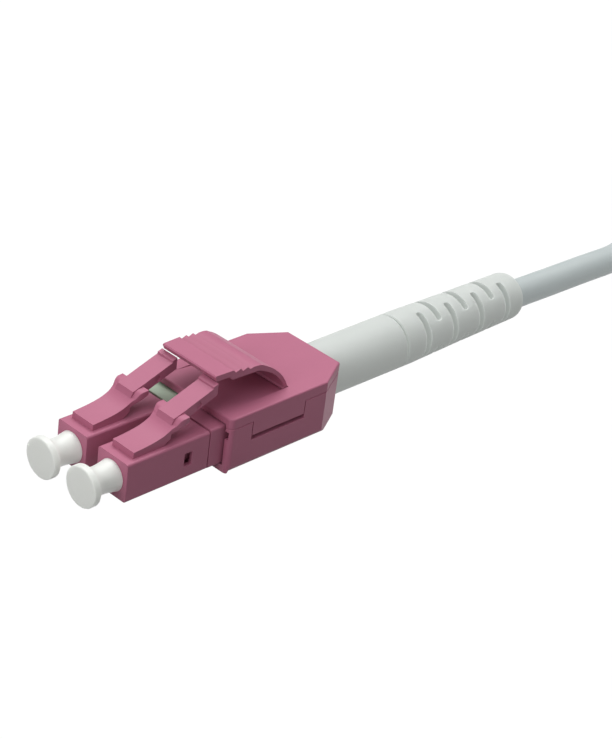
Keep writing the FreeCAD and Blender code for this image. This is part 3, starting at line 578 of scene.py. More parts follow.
# Every X here is counted from the plug's front. A handle is what pulls a curve out of straight.
LATCH_START = 0.0012
LATCH_FOOT = 0.00068       # height of the foot's front edge above the housing
LATCH_DRAFT = 0.00006
LATCH_SUNK = 0.00015       # the foot runs this far into the housing
FOOT_HANDLES = ((0.0043, 0.0002), (0.0053, 0.00042))   # X, and height above the foot's edge
HINGE_X = 0.00505
ROOT_CORNER = (0.00035, 0.00012)   # behind the hinge, and above the housing
ROOT_HANDLE = (0.0002, 0.00003)
ROOT_AHEAD = 0.0001        # the root ends this far ahead of the hinge
RISER_FOOT = (0.0064, 0.00733)
RISER_TOP = (0.00668, 0.00797)
WING_END = 0.00805
WING_TOP = ((0.0058, 0.00707), (0.0066, 0.0074), (0.00694, 0.00788), (0.0073, 0.00808),
            (0.00905, 0.00824))
WING_UNDER = ((0.0061, 0.0066), (0.0070, 0.00714), (0.00805, 0.00762))
WING_HALF = 0.00205
FOOT_HALF = 0.0016
FLARE = (0.0059, 0.0064, 0.0068, 0.0074)   # X of the foot's widening: start, handles and end
FLARE_EASE = 0.0001
ARM_HALF = 0.0012
ARM_Z = 0.0084             # the arm's top where it leaves the wings
ARM_ANGLE = math.radians(19)
ARM_DEPTH = 0.00107
ARM_END = 0.0125
ARM_HANDLES = ((0.00765, 0.00709), (0.00615, 0.00619))
RIB_LENGTH = 0.0006
RIB_HEIGHT = 0.0002
PIT_PLACE = 0.8            # share of the way to the arm's end
PIT_RADIUS = 0.0004
PIT_DEPTH = 0.00015
PIT_LIFT = 1.2             # radii from the arm's underside to the pit's middle
LATCH_ROUNDING = 0.0001
TRIM_LOW = 0.004           # the tools that trim a latch reach from here
TRIM_HIGH = 0.012
PLAN_HEIGHT = 0.009


def bezier(a, b, c, d, steps):
    """Points of a cubic curve from a to d, without a itself."""
    points = []
    for step in range(1, steps + 1):
        t = step / steps
        points.append(tuple((1 - t) ** 3 * p + 3 * (1 - t) ** 2 * t * q + 3 * (1 - t) * t * t * r
                            + t ** 3 * s for p, q, r, s in zip(a, b, c, d)))
    return points


def latch_outline():
    """The tongue seen from the side, as X behind the plug's front and Z."""
    slope = math.tan(ARM_ANGLE)
    depth = ARM_DEPTH / math.cos(ARM_ANGLE)
    rib = ARM_END - RIB_LENGTH
    rib_z = ARM_Z + (rib - WING_END) * slope
    end_z = ARM_Z + (ARM_END - WING_END) * slope
    under = WING_END + ARM_DEPTH / 2
    under_z = ARM_Z + (under - WING_END) * slope - depth
    foot_top = plug_top + LATCH_FOOT
    root = HINGE_X - ROOT_AHEAD
    outline = [(LATCH_START, plug_top - LATCH_SUNK), (LATCH_START + LATCH_DRAFT, foot_top)]
    outline += bezier(outline[-1], *[(x, foot_top + rise) for x, rise in FOOT_HANDLES],
                      RISER_FOOT, 14)
    outline += [RISER_TOP, (WING_END, ARM_Z), (rib, rib_z), (rib, rib_z + RIB_HEIGHT),
                (ARM_END, end_z + RIB_HEIGHT), (ARM_END, end_z - depth), (under, under_z)]
    outline += bezier(outline[-1], *ARM_HANDLES,
                      (HINGE_X + ROOT_CORNER[0], plug_top + ROOT_CORNER[1]), 10)
    outline += bezier(outline[-1], (HINGE_X + ROOT_HANDLE[0], plug_top + ROOT_HANDLE[1]),
                      (root + ROOT_AHEAD, plug_top), (root, plug_top), 4)
    outline.append((root, plug_top - LATCH_SUNK))
    return outline


def wing_cuts(y):
    """Blocks that trim the wings' tops and undersides on both sides of the arm."""
    reach = WING_HALF + CLEAR - ARM_HALF
    above = list(WING_TOP) + [(WING_TOP[-1][0], TRIM_HIGH), (WING_TOP[0][0], TRIM_HIGH)]
    below = list(WING_UNDER) + [(WING_UNDER[-1][0], TRIM_LOW), (WING_UNDER[0][0], TRIM_LOW)]
    tools = []
    for y0 in (y - WING_HALF - CLEAR, y + ARM_HALF):
        for outline in (above, below):
            tools.append(outline_block("wing_cut", [(FRONT_X + x, y0, z) for x, z in outline],
                                       (0, reach, 0)))
    return tools


def latch(side):
    """The side view drawn out to the wings' width, then trimmed to the view from above."""
    y = PLUG_Y[side]
    profile = [(FRONT_X + x, y - WING_HALF, z) for x, z in latch_outline()]
    tongue = outline_block(f"latch_tongue_{side}", profile, (0, 2 * WING_HALF, 0))
    half = [(LATCH_START - CLEAR, FOOT_HALF), (FLARE[0], FOOT_HALF)]
    half += bezier(half[-1], (FLARE[1], FOOT_HALF), (FLARE[2], WING_HALF - FLARE_EASE),
                   (FLARE[3], WING_HALF), 6)
    half += [(WING_END, WING_HALF), (WING_END, ARM_HALF), (ARM_END + CLEAR, ARM_HALF)]
    plan = half + [(x, -h) for x, h in reversed(half)]
    shape(tongue, "INTERSECT", outline_block(
        "latch_plan", [(FRONT_X + x, y + h, TRIM_LOW) for x, h in plan], (0, 0, PLAN_HEIGHT)))
    shape(tongue, "DIFFERENCE", *wing_cuts(y))
    pit_x = ARM_END * PIT_PLACE
    pit_z = (ARM_Z + (pit_x - WING_END) * math.tan(ARM_ANGLE)
             - ARM_DEPTH / math.cos(ARM_ANGLE) + PIT_RADIUS * PIT_LIFT)
    for sign in (-1, 1):
        face = y + sign * ARM_HALF
        shape(tongue, "DIFFERENCE", round_pin(
            "pit", PIT_RADIUS, (FRONT_X + pit_x, face - PIT_DEPTH, pit_z),
            (FRONT_X + pit_x, face + PIT_DEPTH, pit_z), sides=20))
    soften(tongue, LATCH_ROUNDING)
    mount(tongue, violet, "violet_housing", None, f"latch_arm_{side}")
    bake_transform(tongue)


for side in SIDES:
    latch(side)


# ---- Rear bodies ----
# The spring seat and collar behind each plug, moulded in polyester and snapped into the housing.
# The right one is grey-green, so that the two fibres can be told apart.

COLLAR_FRONT = -0.0110
COLLAR_BACK = -0.00795
COLLAR_TOP = 0.0056
COLLAR_EDGE = 0.00025
COLLAR_ROUNDING = 0.00008
POST_FLANGE = (-0.00505, -0.00435)
# Round steps of the rear body: radius, start and end in X.
REAR_STEPS = ((0.0015, -0.0147, -0.0130), (0.0018, -0.0130, COLLAR_FRONT),
              (BEAD_RADIUS, -0.0121, -0.0117), (0.0019, COLLAR_BACK, POST_FLANGE[1]),
              (0.0022, *POST_FLANGE))
REAR_BORES = ((0.0012, -0.0157, -0.0125), (0.0009, -0.0135, -0.0035))


def rear_body(side, finish, slot):
    """A collar with rounded long edges, joined to its round steps and bored through."""
    y = PLUG_Y[side]
    body = cube_block(f"rear_collar_{side}", (COLLAR_FRONT, y - PLUG_HALF, AXIS_Z - PLUG_HALF),
                      (COLLAR_BACK, y + PLUG_HALF, COLLAR_TOP))
    round_edges(body, COLLAR_EDGE, 4, lambda middle, along: abs(along.x) > ALONG)
    shape(body, "UNION", *[round_pin("step", radius, (x0, y, AXIS_Z), (x1, y, AXIS_Z))
                           for radius, x0, x1 in REAR_STEPS])
    shape(body, "DIFFERENCE", *[round_pin("bore", radius, (x0, y, AXIS_Z), (x1, y, AXIS_Z))
                                for radius, x0, x1 in REAR_BORES])
    soften(body, COLLAR_ROUNDING)
    mount(body, finish, slot, "connector", f"rear_body_{side}")


# Grey-green polyester: the same moulded satin as the violet, in a pale, chalky tint.
grey_green = moulding("grey_green_polyester", "#ABC0A9", roughness=0.5, grain=0.00022)
rear_body("left", violet, "violet_housing")
rear_body("right", grey_green, "grey_collar")


# ---- Shell ----
# Two halves of violet polyester that clip together round the rear bodies and the crimp. The lid's
# side tabs drop into pockets of the lower half and leave a narrow slot under each.

MOUTH_X = -0.0091
TAIL_X = 0.0091
SHELL_HALF = 0.0063
SHELL_TOP = 0.00655
PARTING = 0.0053
CEILING = 0.00575
FLOOR = 0.0006
WALL = 0.0009
FRONT_WALL = 0.001
REAR_WALL = 0.0012
TAPER_LENGTH = 0.0042
TAPER_WIDTH = 0.0023
TAPER_SHIFT = 0.4          # share of a wall by which its inner face tapers sooner
CORNER_RADIUS = 0.0006
BASE_RADIUS = 0.00075
TOP_RADIUS = 0.0002
SHELL_ROUNDING = 0.00009
SHELL_ANGLE = 26           # rounds the tail's shallow corners as well, in degrees
PARTING_EDGE = 0.00009     # chamfer of both halves, which draws the line between them
MOUTH_AIR = 0.00015
RELIEF = (0.0040, 0.0049)  # bottom and top of the nick beside each mouth
RELIEF_WIDTH = 0.00045
TAB_START = 0.00315
TAB_LENGTH = 0.00775
TAB_DEPTH = 0.00162
TAB_AIR = 0.0001
TAB_ROOT = 0.0056          # the tabs run up into the lid as far as this
SLOT_HEIGHT = 0.00053
SADDLE_BACK = -0.0051
SADDLE_THICKNESS = 0.0009
SADDLE_LOW = 0.0002        # its top lies this far below the parting
POST_RADIUS = 0.00195
CRIMP_NOSE_X = 0.00365
CRIMP_FLANGE_X = 0.00635
FLANGE_RADIUS = 0.00255
NECK_RADIUS = 0.00215
TRIGGER_HALF = 0.0045
RECESS_START = 0.0018
RECESS_DEPTH = 0.0004
KNUCKLE = (0.00035, 0.0064)
KNUCKLE_RADIUS = 0.0003
HINGE_AIR = 0.00005
RECESS_AIR = 0.0001
BAY_LOW = 0.004
END_ROOM = 0.0003          # behind the posts' flanges, and ahead of the crimp body's nose
OPEN_TOP = 0.01            # cuts that are open upwards run as high as this
NEAR = 0.00001             # an edge lies in a plane if it is nearer than this
ARC_STEPS = 24


def shell_plan(z, inset=0.0, front=0.0, rear=0.0):
    """The shell seen from above, drawn in by a wall: a rectangle with its rear corners cut off."""
    half, narrow = SHELL_HALF - inset, SHELL_HALF - TAPER_WIDTH - inset
    x0, x1 = MOUTH_X + front, TAIL_X - rear
    taper = TAIL_X - TAPER_LENGTH - inset * TAPER_SHIFT
    narrow += TAPER_WIDTH * rear / TAPER_LENGTH
    return [(x0, -half, z), (taper, -half, z), (x1, -narrow, z),
            (x1, narrow, z), (taper, half, z), (x0, half, z)]


def shell_half(name, low, high):
    """The outer form of one half, with its rounded front corners and the edge of the parting."""
    half = outline_block(name, shell_plan(low), (0, 0, high - low))
    round_edges(half, CORNER_RADIUS, 6, lambda middle, along: (
        abs(along.z) > ALONG and middle.x < MOUTH_X + NEAR))
    round_edges(half, PARTING_EDGE, 1, lambda middle, along: abs(middle.z - PARTING) < NEAR)
    return half


def mouth_cuts(top):
    """Square openings in the front wall, which the rear bodies' collars stand in."""
    half = PLUG_HALF + MOUTH_AIR
    return [cube_block("mouth_cut", (MOUTH_X - CLEAR, y - half, AXIS_Z - half),
                       (MOUTH_X + FRONT_WALL + SNUG, y + half, top))
            for y in PLUG_Y.values()]


def lower_shell():
    """A tray with a saddle across it for the posts, and cuts for the mouths, tabs and neck."""
    shell = shell_half("shell_lower_half", 0, PARTING)
    round_edges(shell, BASE_RADIUS, 5, lambda middle, along: (
        abs(middle.z) < NEAR and abs(along.x) > ALONG))
    shape(shell, "DIFFERENCE", outline_block(
        "hollow", shell_plan(FLOOR, WALL, FRONT_WALL, REAR_WALL), (0, 0, OPEN_TOP)))
    saddle = cube_block("saddle", (SADDLE_BACK - SADDLE_THICKNESS, WALL / 2 - SHELL_HALF,
                                   FLOOR / 2),
                        (SADDLE_BACK, SHELL_HALF - WALL / 2, PARTING - SADDLE_LOW))
    shape(shell, "UNION", saddle)
    x0, x1 = SADDLE_BACK - SADDLE_THICKNESS - CLEAR, SADDLE_BACK + CLEAR
    ways = [(x0, x1, y, POST_RADIUS) for y in PLUG_Y.values()]
    ways.append((TAIL_X - REAR_WALL - CLEAR / 4, TAIL_X + CLEAR, 0, NECK_RADIUS))
    for start, end, y, radius in ways:
        profile = [(start, y + radius * math.cos(a), AXIS_Z + radius * math.sin(a))
                   for a in (math.pi + math.pi * i / ARC_STEPS for i in range(ARC_STEPS + 1))]
        profile += [(start, y + radius, OPEN_TOP), (start, y - radius, OPEN_TOP)]
        shape(shell, "DIFFERENCE", outline_block("way", profile, (end - start, 0, 0)))
    shape(shell, "DIFFERENCE", *mouth_cuts(OPEN_TOP))
    x0, x1 = MOUTH_X + TAB_START, MOUTH_X + TAB_START + TAB_LENGTH
    inner = PLUG_Y["right"] + PLUG_HALF
    for sign in (-1, 1):
        ys = sorted((sign * (SHELL_HALF - WALL - TAB_AIR), sign * (SHELL_HALF + CLEAR)))
        pocket = cube_block("tab_pocket", (x0, ys[0], PARTING - TAB_DEPTH - SLOT_HEIGHT),
                            (x1, ys[1], OPEN_TOP))
        ys = sorted((sign * inner, sign * (inner + MOUTH_AIR + RELIEF_WIDTH)))
        nick = cube_block("mouth_nick", (MOUTH_X - CLEAR, ys[0], RELIEF[0]),
                          (MOUTH_X + FRONT_WALL + CLEAR / 4, ys[1], RELIEF[1]))
        shape(shell, "DIFFERENCE", pocket, nick)
    soften(shell, SHELL_ROUNDING, angle=SHELL_ANGLE)
    mount(shell, violet, "violet_housing", "connector", "shell_bottom")


def lid():
    """A plate with room under it for what it covers, two side tabs, and the trigger's groove."""
    shell = shell_half("shell_lid", PARTING, SHELL_TOP)
    round_edges(shell, TOP_RADIUS, 4, lambda middle, along: (
        middle.z > SHELL_TOP - NEAR and abs(along.z) < 1 - ALONG))
    bay = cube_block("bay", (MOUTH_X + FRONT_WALL, WALL - SHELL_HALF, BAY_LOW),
                     (POST_FLANGE[1] + END_ROOM, SHELL_HALF - WALL, CEILING))
    shape(shell, "DIFFERENCE", bay,
          round_pin("flange_room", FLANGE_RADIUS, (CRIMP_FLANGE_X, 0, AXIS_Z),
                    (TAIL_X - REAR_WALL, 0, AXIS_Z)),
          round_pin("neck_room", NECK_RADIUS, (CRIMP_NOSE_X - END_ROOM, 0, AXIS_Z),
                    (TAIL_X + CLEAR, 0, AXIS_Z)),
          *mouth_cuts(CEILING))
    x0, x1 = MOUTH_X + TAB_START + TAB_AIR, MOUTH_X + TAB_START + TAB_LENGTH - TAB_AIR
    for sign in (-1, 1):
        ys = sorted((sign * (SHELL_HALF - WALL), sign * SHELL_HALF))
        tab = cube_block("side_tab", (x0, ys[0], PARTING - TAB_DEPTH), (x1, ys[1], TAB_ROOT))
        shape(shell, "UNION", tab)
    side = TRIGGER_HALF + RECESS_AIR
    recess = outline_block("trigger_recess", [
        (MOUTH_X + RECESS_START, -side, SHELL_TOP),
        (KNUCKLE[0], -side, SHELL_TOP - RECESS_DEPTH),
        (KNUCKLE[0], -side, SHELL_TOP + CLEAR),
        (MOUTH_X + RECESS_START, -side, SHELL_TOP + CLEAR)], (0, 2 * side, 0))
    groove = round_pin("knuckle_groove", KNUCKLE_RADIUS + HINGE_AIR,
                       (KNUCKLE[0], -side, KNUCKLE[1]), (KNUCKLE[0], side, KNUCKLE[1]), sides=32)
    shape(shell, "DIFFERENCE", recess, groove)
    soften(shell, SHELL_ROUNDING, angle=SHELL_ANGLE)
    mount(shell, violet, "violet_housing", "connector", "shell_top")


lower_shell()
lid()


# ---- Trigger ----
# The thumb piece that presses both latches. It is a bowed strap of the same violet polyester,
# hinged at the lid by a round knuckle, with three saw-tooth ridges for the thumb.

TRIGGER_TOP = 0.0109
LIP_X = MOUTH_X - 0.00075
LIP_THICKNESS = 0.00066
LIP_EDGE = LIP_THICKNESS / 5
LIP_STEP_X = MOUTH_X + 0.0012
LIP_STEP = 0.00045
LIP_HALF = 0.004
STRAP = 0.00068
CREST_X = MOUTH_X + 0.0052
CREST_Z = TRIGGER_TOP - 0.00042
BEND_X = CREST_X + 0.00086
BEND_Z = CREST_Z - 0.00034
HEEL_X = MOUTH_X + 0.0097
HEEL_THICKNESS = 0.0005
KNUCKLE_ENTRY = 0.0001     # half the strap's thickness where it meets the knuckle
# The handles of the strap's curves, each counted from its own end of a curve.
CREST_HANDLE = (0.0005, -0.00005)
BEND_HANDLE = (0.00134, -0.00059)
HEEL_HANDLE = (-0.0006, 0.00165)
INNER_HEEL_HANDLE = (-0.001, 0.00145)
INNER_SLOPE_HANDLE = (0.00141, -0.0005)
INNER_BEND_HANDLE = (-0.0002, 0.00015)
INNER_CREST = 0.0001
INNER_BEND = (0.4, 0.8)    # shares of the strap's thickness, ahead of the bend and below it
RIDGES = 3
RIDGE_START = 0.00165
RIDGE_PITCH = 0.001
RIDGE_STEEP = 0.36         # share of the pitch that the steep side of a ridge takes
RIDGE_DEPTH = 0.00034
RIDGE_FALL = 0.0001
TRIGGER_ROUNDING = 0.00009
STRAP_PLAN_LOW = 0.005
STRAP_PLAN_HEIGHT = 0.008


def beside(point, handle):
    """The place of a handle that is counted from a point."""
    return point[0] + handle[0], point[1] + handle[1]


def trigger_outline():
    """The strap seen from the side: lip, ridges, crest, the bowed slope to the heel, and back."""
    points = [(LIP_X, TRIGGER_TOP - LIP_EDGE), (LIP_X + LIP_EDGE, TRIGGER_TOP)]
    for ridge in range(RIDGES):
        x = MOUTH_X + RIDGE_START + ridge * RIDGE_PITCH
        z = TRIGGER_TOP - ridge * RIDGE_FALL
        points += [(x, z), (x + RIDGE_PITCH * RIDGE_STEEP, z - RIDGE_DEPTH)]
    crest, bend, heel = (CREST_X, CREST_Z), (BEND_X, BEND_Z), (HEEL_X, SHELL_TOP)
    points.append((CREST_X - STRAP, CREST_Z))
    points += bezier(points[-1], crest, beside(crest, CREST_HANDLE), bend, 6)
    points += bezier(points[-1], beside(bend, BEND_HANDLE), beside(heel, HEEL_HANDLE), heel, 14)
    points += [(KNUCKLE[0] + KNUCKLE_ENTRY, KNUCKLE[1]), (KNUCKLE[0] - KNUCKLE_ENTRY, KNUCKLE[1]),
               (HEEL_X - HEEL_THICKNESS, SHELL_TOP)]
    inner_bend = (BEND_X - STRAP * INNER_BEND[0], BEND_Z - STRAP * INNER_BEND[1])
    points += bezier(points[-1], beside(heel, INNER_HEEL_HANDLE),
                     beside(inner_bend, INNER_SLOPE_HANDLE), inner_bend, 14)
    points += bezier(points[-1], beside(inner_bend, INNER_BEND_HANDLE),
                     (CREST_X + INNER_CREST, CREST_Z - STRAP),
                     (CREST_X - INNER_CREST, CREST_Z - STRAP), 4)
    low = TRIGGER_TOP - LIP_THICKNESS
    points += [(LIP_STEP_X + LIP_STEP, CREST_Z - STRAP), (LIP_STEP_X, low),
               (LIP_X + 2 * LIP_EDGE, low)]
    return points


profile = [(x, -TRIGGER_HALF, z) for x, z in trigger_outline()]
strap = outline_block("thumb_trigger", profile, (0, 2 * TRIGGER_HALF, 0))
corners = [(LIP_X - CLEAR, -LIP_HALF), (HEEL_X + CLEAR, -TRIGGER_HALF),
           (HEEL_X + CLEAR, TRIGGER_HALF), (LIP_X - CLEAR, LIP_HALF)]
shape(strap, "INTERSECT", outline_block(
    "strap_plan", [(x, y, STRAP_PLAN_LOW) for x, y in corners], (0, 0, STRAP_PLAN_HEIGHT)))
shape(strap, "UNION", round_pin("knuckle", KNUCKLE_RADIUS,
                                (KNUCKLE[0], -TRIGGER_HALF, KNUCKLE[1]),
                                (KNUCKLE[0], TRIGGER_HALF, KNUCKLE[1]), sides=32))
soften(strap, TRIGGER_ROUNDING)
mount(strap, violet, "violet_housing", "trigger", "trigger")


# ---- Sleeve and strain boot ----
# A plain white elastomer sleeve is pushed over the crimp, and the boot's spigot into the sleeve.
# The real boot bends with the cable: rows of round-ended slots, turned a quarter from row to row,
# let it flex. This one is built straight.

SLEEVE_FRONT = 0.00915
SLEEVE_RADIUS = 0.00318
SLEEVE_BORE = 0.00265
BOOT_FRONT = 0.02187
BOOT_GAP = 0.00022
BOOT_EDGE = 0.00012
BOOT_RADIUS = 0.00322
BOOT_MIDDLE = (0.0313, 0.00305)
BOOT_TIP_RADIUS = 0.0029
BOOT_END = 0.0429
BOOT_ROUND = 0.0009
BOOT_DROP = 0.0005
BOOT_DROP_HANDLE = 0.4     # share of the drop
BOOT_BORE = 0.0018
BORE_START = 0.001         # behind the boot's front
BOOT_FLARE = 0.00225       # radius at the end, where the cable leaves
FLARE_STRAIGHT = 0.0017    # the flare keeps its width over this much, ahead of the end
FLARE_START = 0.0057       # it starts to open this far ahead of the end
BOOT_SHOULDER = 0.002      # length of the boot's cylindrical front
BOOT_ROUNDING = 0.00007
SPIGOT_X = 0.01875
SPIGOT_OUTSIDE = 0.0026
SPIGOT_INSIDE = 0.00215
BOOT_SIDES = 96
SLOT_FIRST = 0.02530
SLOT_PITCH = 0.00239
SLOT_ROWS = 7
SLOT_HALF = 0.00045
SLOT_FLOOR = 0.0020
SLOT_ROLL = math.radians(-15)
SLOT_REACH = math.radians(61.875)  # half the angle that a slot spans; it ends amid a facet
SLOT_TURN = math.radians(14)       # the last part of it, which holds the rounding of its end
SLOT_END = 0.9             # share of the slot's half width that its ends are rounded by
ROUND_HANDLE = 0.45        # share of a corner's radius between a handle and the corner


def slot_tool():
    """A bent bar with round ends that cuts one slot, its middle straight above the boot's axis."""
    outer = BOOT_RADIUS + CLEAR
    middle_part = SLOT_REACH - SLOT_TURN
    sweep = [-SLOT_REACH] + [middle_part * (step / 10 - 1) for step in range(21)] + [SLOT_REACH]
    outline = [(SLOT_FLOOR, angle) for angle in sweep]
    outline += [(outer, angle) for angle in reversed(sweep)]
    bar = outline_block("slot_tool", [(-SLOT_HALF, radius * math.sin(angle),
                                       radius * math.cos(angle)) for radius, angle in outline],
                        (2 * SLOT_HALF, 0, 0))
    round_edges(bar, SLOT_HALF * SLOT_END, 4, lambda middle, along: (
        abs(along.x) < 1 - ALONG
        and abs(math.atan2(middle.y, middle.z)) > SLOT_REACH - SLOT_TURN / 4))
    return bar


SEAM_DISTANCE = 0.000001
NO_LENGTH = 0.0000001


def turned(name, profile, y, z, steps=64):
    """Spins a profile of X and radius about a line along X, as a lathe or a round mould does."""
    piece = primitive(name, bpy.ops.mesh.primitive_circle_add, vertices=len(profile),
                      fill_type="NOTHING")
    for corner, (x, radius) in zip(piece.data.vertices, profile):
        corner.co = (x, y, z + radius)
    bpy.ops.object.mode_set(mode="EDIT")
    bpy.ops.mesh.select_all(action="SELECT")
    bpy.ops.mesh.spin(steps=steps, angle=2 * math.pi, center=(0, y, z), axis=(1, 0, 0))
    bpy.ops.mesh.select_all(action="SELECT")
    bpy.ops.mesh.remove_doubles(threshold=SEAM_DISTANCE)
    bpy.ops.mesh.dissolve_degenerate(threshold=NO_LENGTH)
    bpy.ops.mesh.select_all(action="SELECT")
    bpy.ops.mesh.delete_loose(use_edges=True)
    face_outwards()
    return piece


# White elastomer: matt and dry to the eye, with light that soaks in, and a painted glow that
# lightens its shadows.
elastomer = moulding("white_elastomer", "#ADB1AE", roughness=0.62, grain=0.0003, mottle=0.02,
                     soak_and_painted_glow=0.45)
sleeve_end = BOOT_FRONT - BOOT_GAP
sleeve = turned("crimp_sleeve", [
    (SLEEVE_FRONT, SLEEVE_BORE), (SLEEVE_FRONT, SLEEVE_RADIUS - BOOT_EDGE),
    (SLEEVE_FRONT + BOOT_EDGE, SLEEVE_RADIUS), (sleeve_end - BOOT_EDGE, BOOT_RADIUS),
    (sleeve_end, BOOT_RADIUS - BOOT_EDGE), (sleeve_end, SLEEVE_BORE)], 0, AXIS_Z, BOOT_SIDES)
bpy.ops.object.shade_smooth_by_angle(angle=math.radians(30))
mount(sleeve, elastomer, "white_boot", "connector", "boot_sleeve")

profile = [(SPIGOT_X, SPIGOT_INSIDE), (SPIGOT_X, SPIGOT_OUTSIDE), (BOOT_FRONT, SPIGOT_OUTSIDE),
           (BOOT_FRONT, BOOT_RADIUS - BOOT_EDGE), (BOOT_FRONT + BOOT_EDGE, BOOT_RADIUS),
           (BOOT_FRONT + BOOT_SHOULDER, BOOT_RADIUS), BOOT_MIDDLE,
           (BOOT_END - BOOT_ROUND, BOOT_TIP_RADIUS)]
profile += bezier(profile[-1], (BOOT_END - BOOT_ROUND * ROUND_HANDLE, BOOT_TIP_RADIUS),
                  (BOOT_END, BOOT_TIP_RADIUS - BOOT_DROP * BOOT_DROP_HANDLE),
                  (BOOT_END, BOOT_TIP_RADIUS - BOOT_DROP), 6)
profile += [(BOOT_END, BOOT_FLARE), (BOOT_END - FLARE_STRAIGHT, BOOT_FLARE),
            (BOOT_END - FLARE_START, BOOT_BORE), (BOOT_FRONT + BORE_START, BOOT_BORE),
            (BOOT_FRONT, SPIGOT_INSIDE)]
boot = turned("strain_boot_body", profile, 0, AXIS_Z, BOOT_SIDES)
tool = slot_tool()
for row in range(SLOT_ROWS):
    quarter = math.radians(90) if row % 2 == 0 else 0
    for angle in (SLOT_ROLL + quarter, SLOT_ROLL + quarter + math.pi):
        cutter = tool.copy()
        cutter.data = tool.data.copy()
        bpy.context.collection.objects.link(cutter)
        place = Matrix.Translation((SLOT_FIRST + row * SLOT_PITCH, 0, AXIS_Z))
        cutter.data.transform(place @ Matrix.Rotation(angle, 4, "X"))
        shape(boot, "DIFFERENCE", cutter)
bpy.data.objects.remove(tool)
soften(boot, BOOT_ROUNDING, segments=2, angle=50)
mount(boot, elastomer, "white_boot", "connector", "strain_boot")


# ---- Dust caps ----
# Soft, milky polyethylene plugs that keep dust off the ferrules: a flat disc to pull by, a waist
# that flares to the housing, and a hollow spigot that fits the mouth.

CAP_PROUD = 0.004
CAP_DISC_RADIUS = 0.002275
CAP_DISC = 0.00085
CAP_WAIST_RADIUS = 0.0015
CAP_FOOT_RADIUS = 0.00175
CAP_RIM = 0.00016
CAP_FILLET = 0.0003        # reach of the handles where the disc runs into the waist
CAP_WAIST_SHARE = 0.42     # share of the way to the housing where the waist starts to flare
CAP_FLARE_HANDLES = (0.0006, 0.0002)
CAP_FOOT_EASE = 0.00005
CAP_SPIGOT_LENGTH = 0.0024
CAP_SPIGOT_RADIUS = MOUTH_RADIUS - SNUG
CAP_SPIGOT_EDGE = 0.0002
CAP_HOLE_RADIUS = 0.000675
CAP_HOLE_EDGE = 0.00015
CAP_END_WALL = 0.001


def cap_profile():
    """The cap's section on one side of its axis, as X and radius."""
    face = FRONT_X - CAP_PROUD
    back = face + CAP_DISC
    foot = FRONT_X - SNUG
    end = FRONT_X + CAP_SPIGOT_LENGTH
    flare = back + (foot - back) * CAP_WAIST_SHARE
    points = [(face, 0), (face, CAP_DISC_RADIUS - CAP_RIM)]
    points += bezier(points[-1], (face, CAP_DISC_RADIUS - CAP_RIM * ROUND_HANDLE),
                     (face + CAP_RIM * ROUND_HANDLE, CAP_DISC_RADIUS),
                     (face + CAP_RIM, CAP_DISC_RADIUS), 5)
    points.append((back - CAP_RIM, CAP_DISC_RADIUS))
    points += bezier(points[-1], (back - CAP_RIM * ROUND_HANDLE, CAP_DISC_RADIUS),
                     (back, CAP_DISC_RADIUS - CAP_RIM * ROUND_HANDLE),
                     (back, CAP_DISC_RADIUS - CAP_RIM), 5)
    points += bezier(points[-1], (back, CAP_WAIST_RADIUS + CAP_FILLET),
                     (back + CAP_FILLET, CAP_WAIST_RADIUS), (flare, CAP_WAIST_RADIUS), 8)
    points += bezier(points[-1], (flare + CAP_FLARE_HANDLES[0], CAP_WAIST_RADIUS),
                     (foot - CAP_FLARE_HANDLES[1], CAP_FOOT_RADIUS - CAP_FOOT_EASE),
                     (foot, CAP_FOOT_RADIUS), 6)
    points += [(foot, CAP_SPIGOT_RADIUS), (end - CAP_SPIGOT_EDGE, CAP_SPIGOT_RADIUS),
               (end, CAP_SPIGOT_RADIUS - CAP_SPIGOT_EDGE),
               (end, CAP_HOLE_RADIUS + CAP_HOLE_EDGE), (end - CAP_HOLE_EDGE, CAP_HOLE_RADIUS),
               (face + CAP_END_WALL, CAP_HOLE_RADIUS), (face + CAP_END_WALL, 0)]
    return points
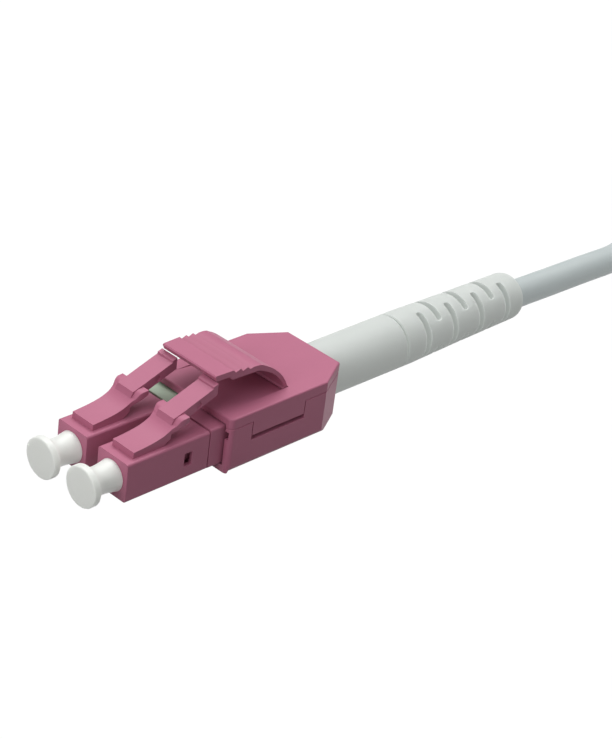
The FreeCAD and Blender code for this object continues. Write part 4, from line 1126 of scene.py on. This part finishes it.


# Milky polyethylene: brighter and waxier than the boot, with soft broad highlights and a painted
# glow that lightens its shade.
polyethylene = moulding("milky_polyethylene", "#D8DAD6", roughness=0.38, grain=0.0004,
                        mottle=0.01, soak_and_painted_glow=0.21)
for side in SIDES:
    cap = turned(f"dust_plug_{side}", cap_profile(), PLUG_Y[side], AXIS_Z)
    bpy.ops.object.shade_smooth_by_angle(angle=math.radians(35))
    mount(cap, polyethylene, "white_cap", f"cap_{side}", f"dust_cap_{side}")


# ---- Hank straps ----
# Two dark woven hook-and-loop straps, one round each side of the hank, hold the wound cable
# flat. Each is cut to length from a roll and pressed shut on itself.

STRAP_WIDTH = 0.004
STRAP_THICKNESS = 0.0003
STRAP_CORNER = CABLE_DIA / 2
STRAP_ROUNDING = 0.00008
# Hook-and-loop tape: near black, quite matt, with a deep and mottled nap.
felt = moulding("hook_and_loop_strap", "#3A3C3E", roughness=0.85, grain=0.00035, depth=0.00006,
                mottle=0.12)
strap_x = HANK_NEAR + (HANK_STRAIGHT - STRAP_WIDTH) / 2
stack = (CABLE_ROUTE[-1][2] - CABLE_DIA / 2,
         CABLE_ROUTE[-1][2] + (HANK_LAYERS - 0.5) * CABLE_DIA)
for number, sign in enumerate((-1, 1)):
    y0, y1 = sorted(HANK_SIDE + sign * r for r in (HANK_INNER - CABLE_DIA / 2,
                                                   HANK_INNER + 1.5 * CABLE_DIA))
    band = cube_block(f"hank_strap_{number}",
                      (strap_x, y0 - STRAP_THICKNESS, stack[0] - STRAP_THICKNESS),
                      (strap_x + STRAP_WIDTH, y1 + STRAP_THICKNESS, stack[1] + STRAP_THICKNESS))
    round_edges(band, STRAP_CORNER + STRAP_THICKNESS, 8,
                lambda middle, along: abs(along.x) > ALONG)
    hole = cube_block("strap_hole", (strap_x - CLEAR, y0, stack[0]),
                      (strap_x + STRAP_WIDTH + CLEAR, y1, stack[1]))
    round_edges(hole, STRAP_CORNER, 8, lambda middle, along: abs(along.x) > ALONG)
    shape(band, "DIFFERENCE", hole)
    soften(band, STRAP_ROUNDING, segments=2, angle=50)
    mount(band, felt, "tie", "connector", "hank_tie")
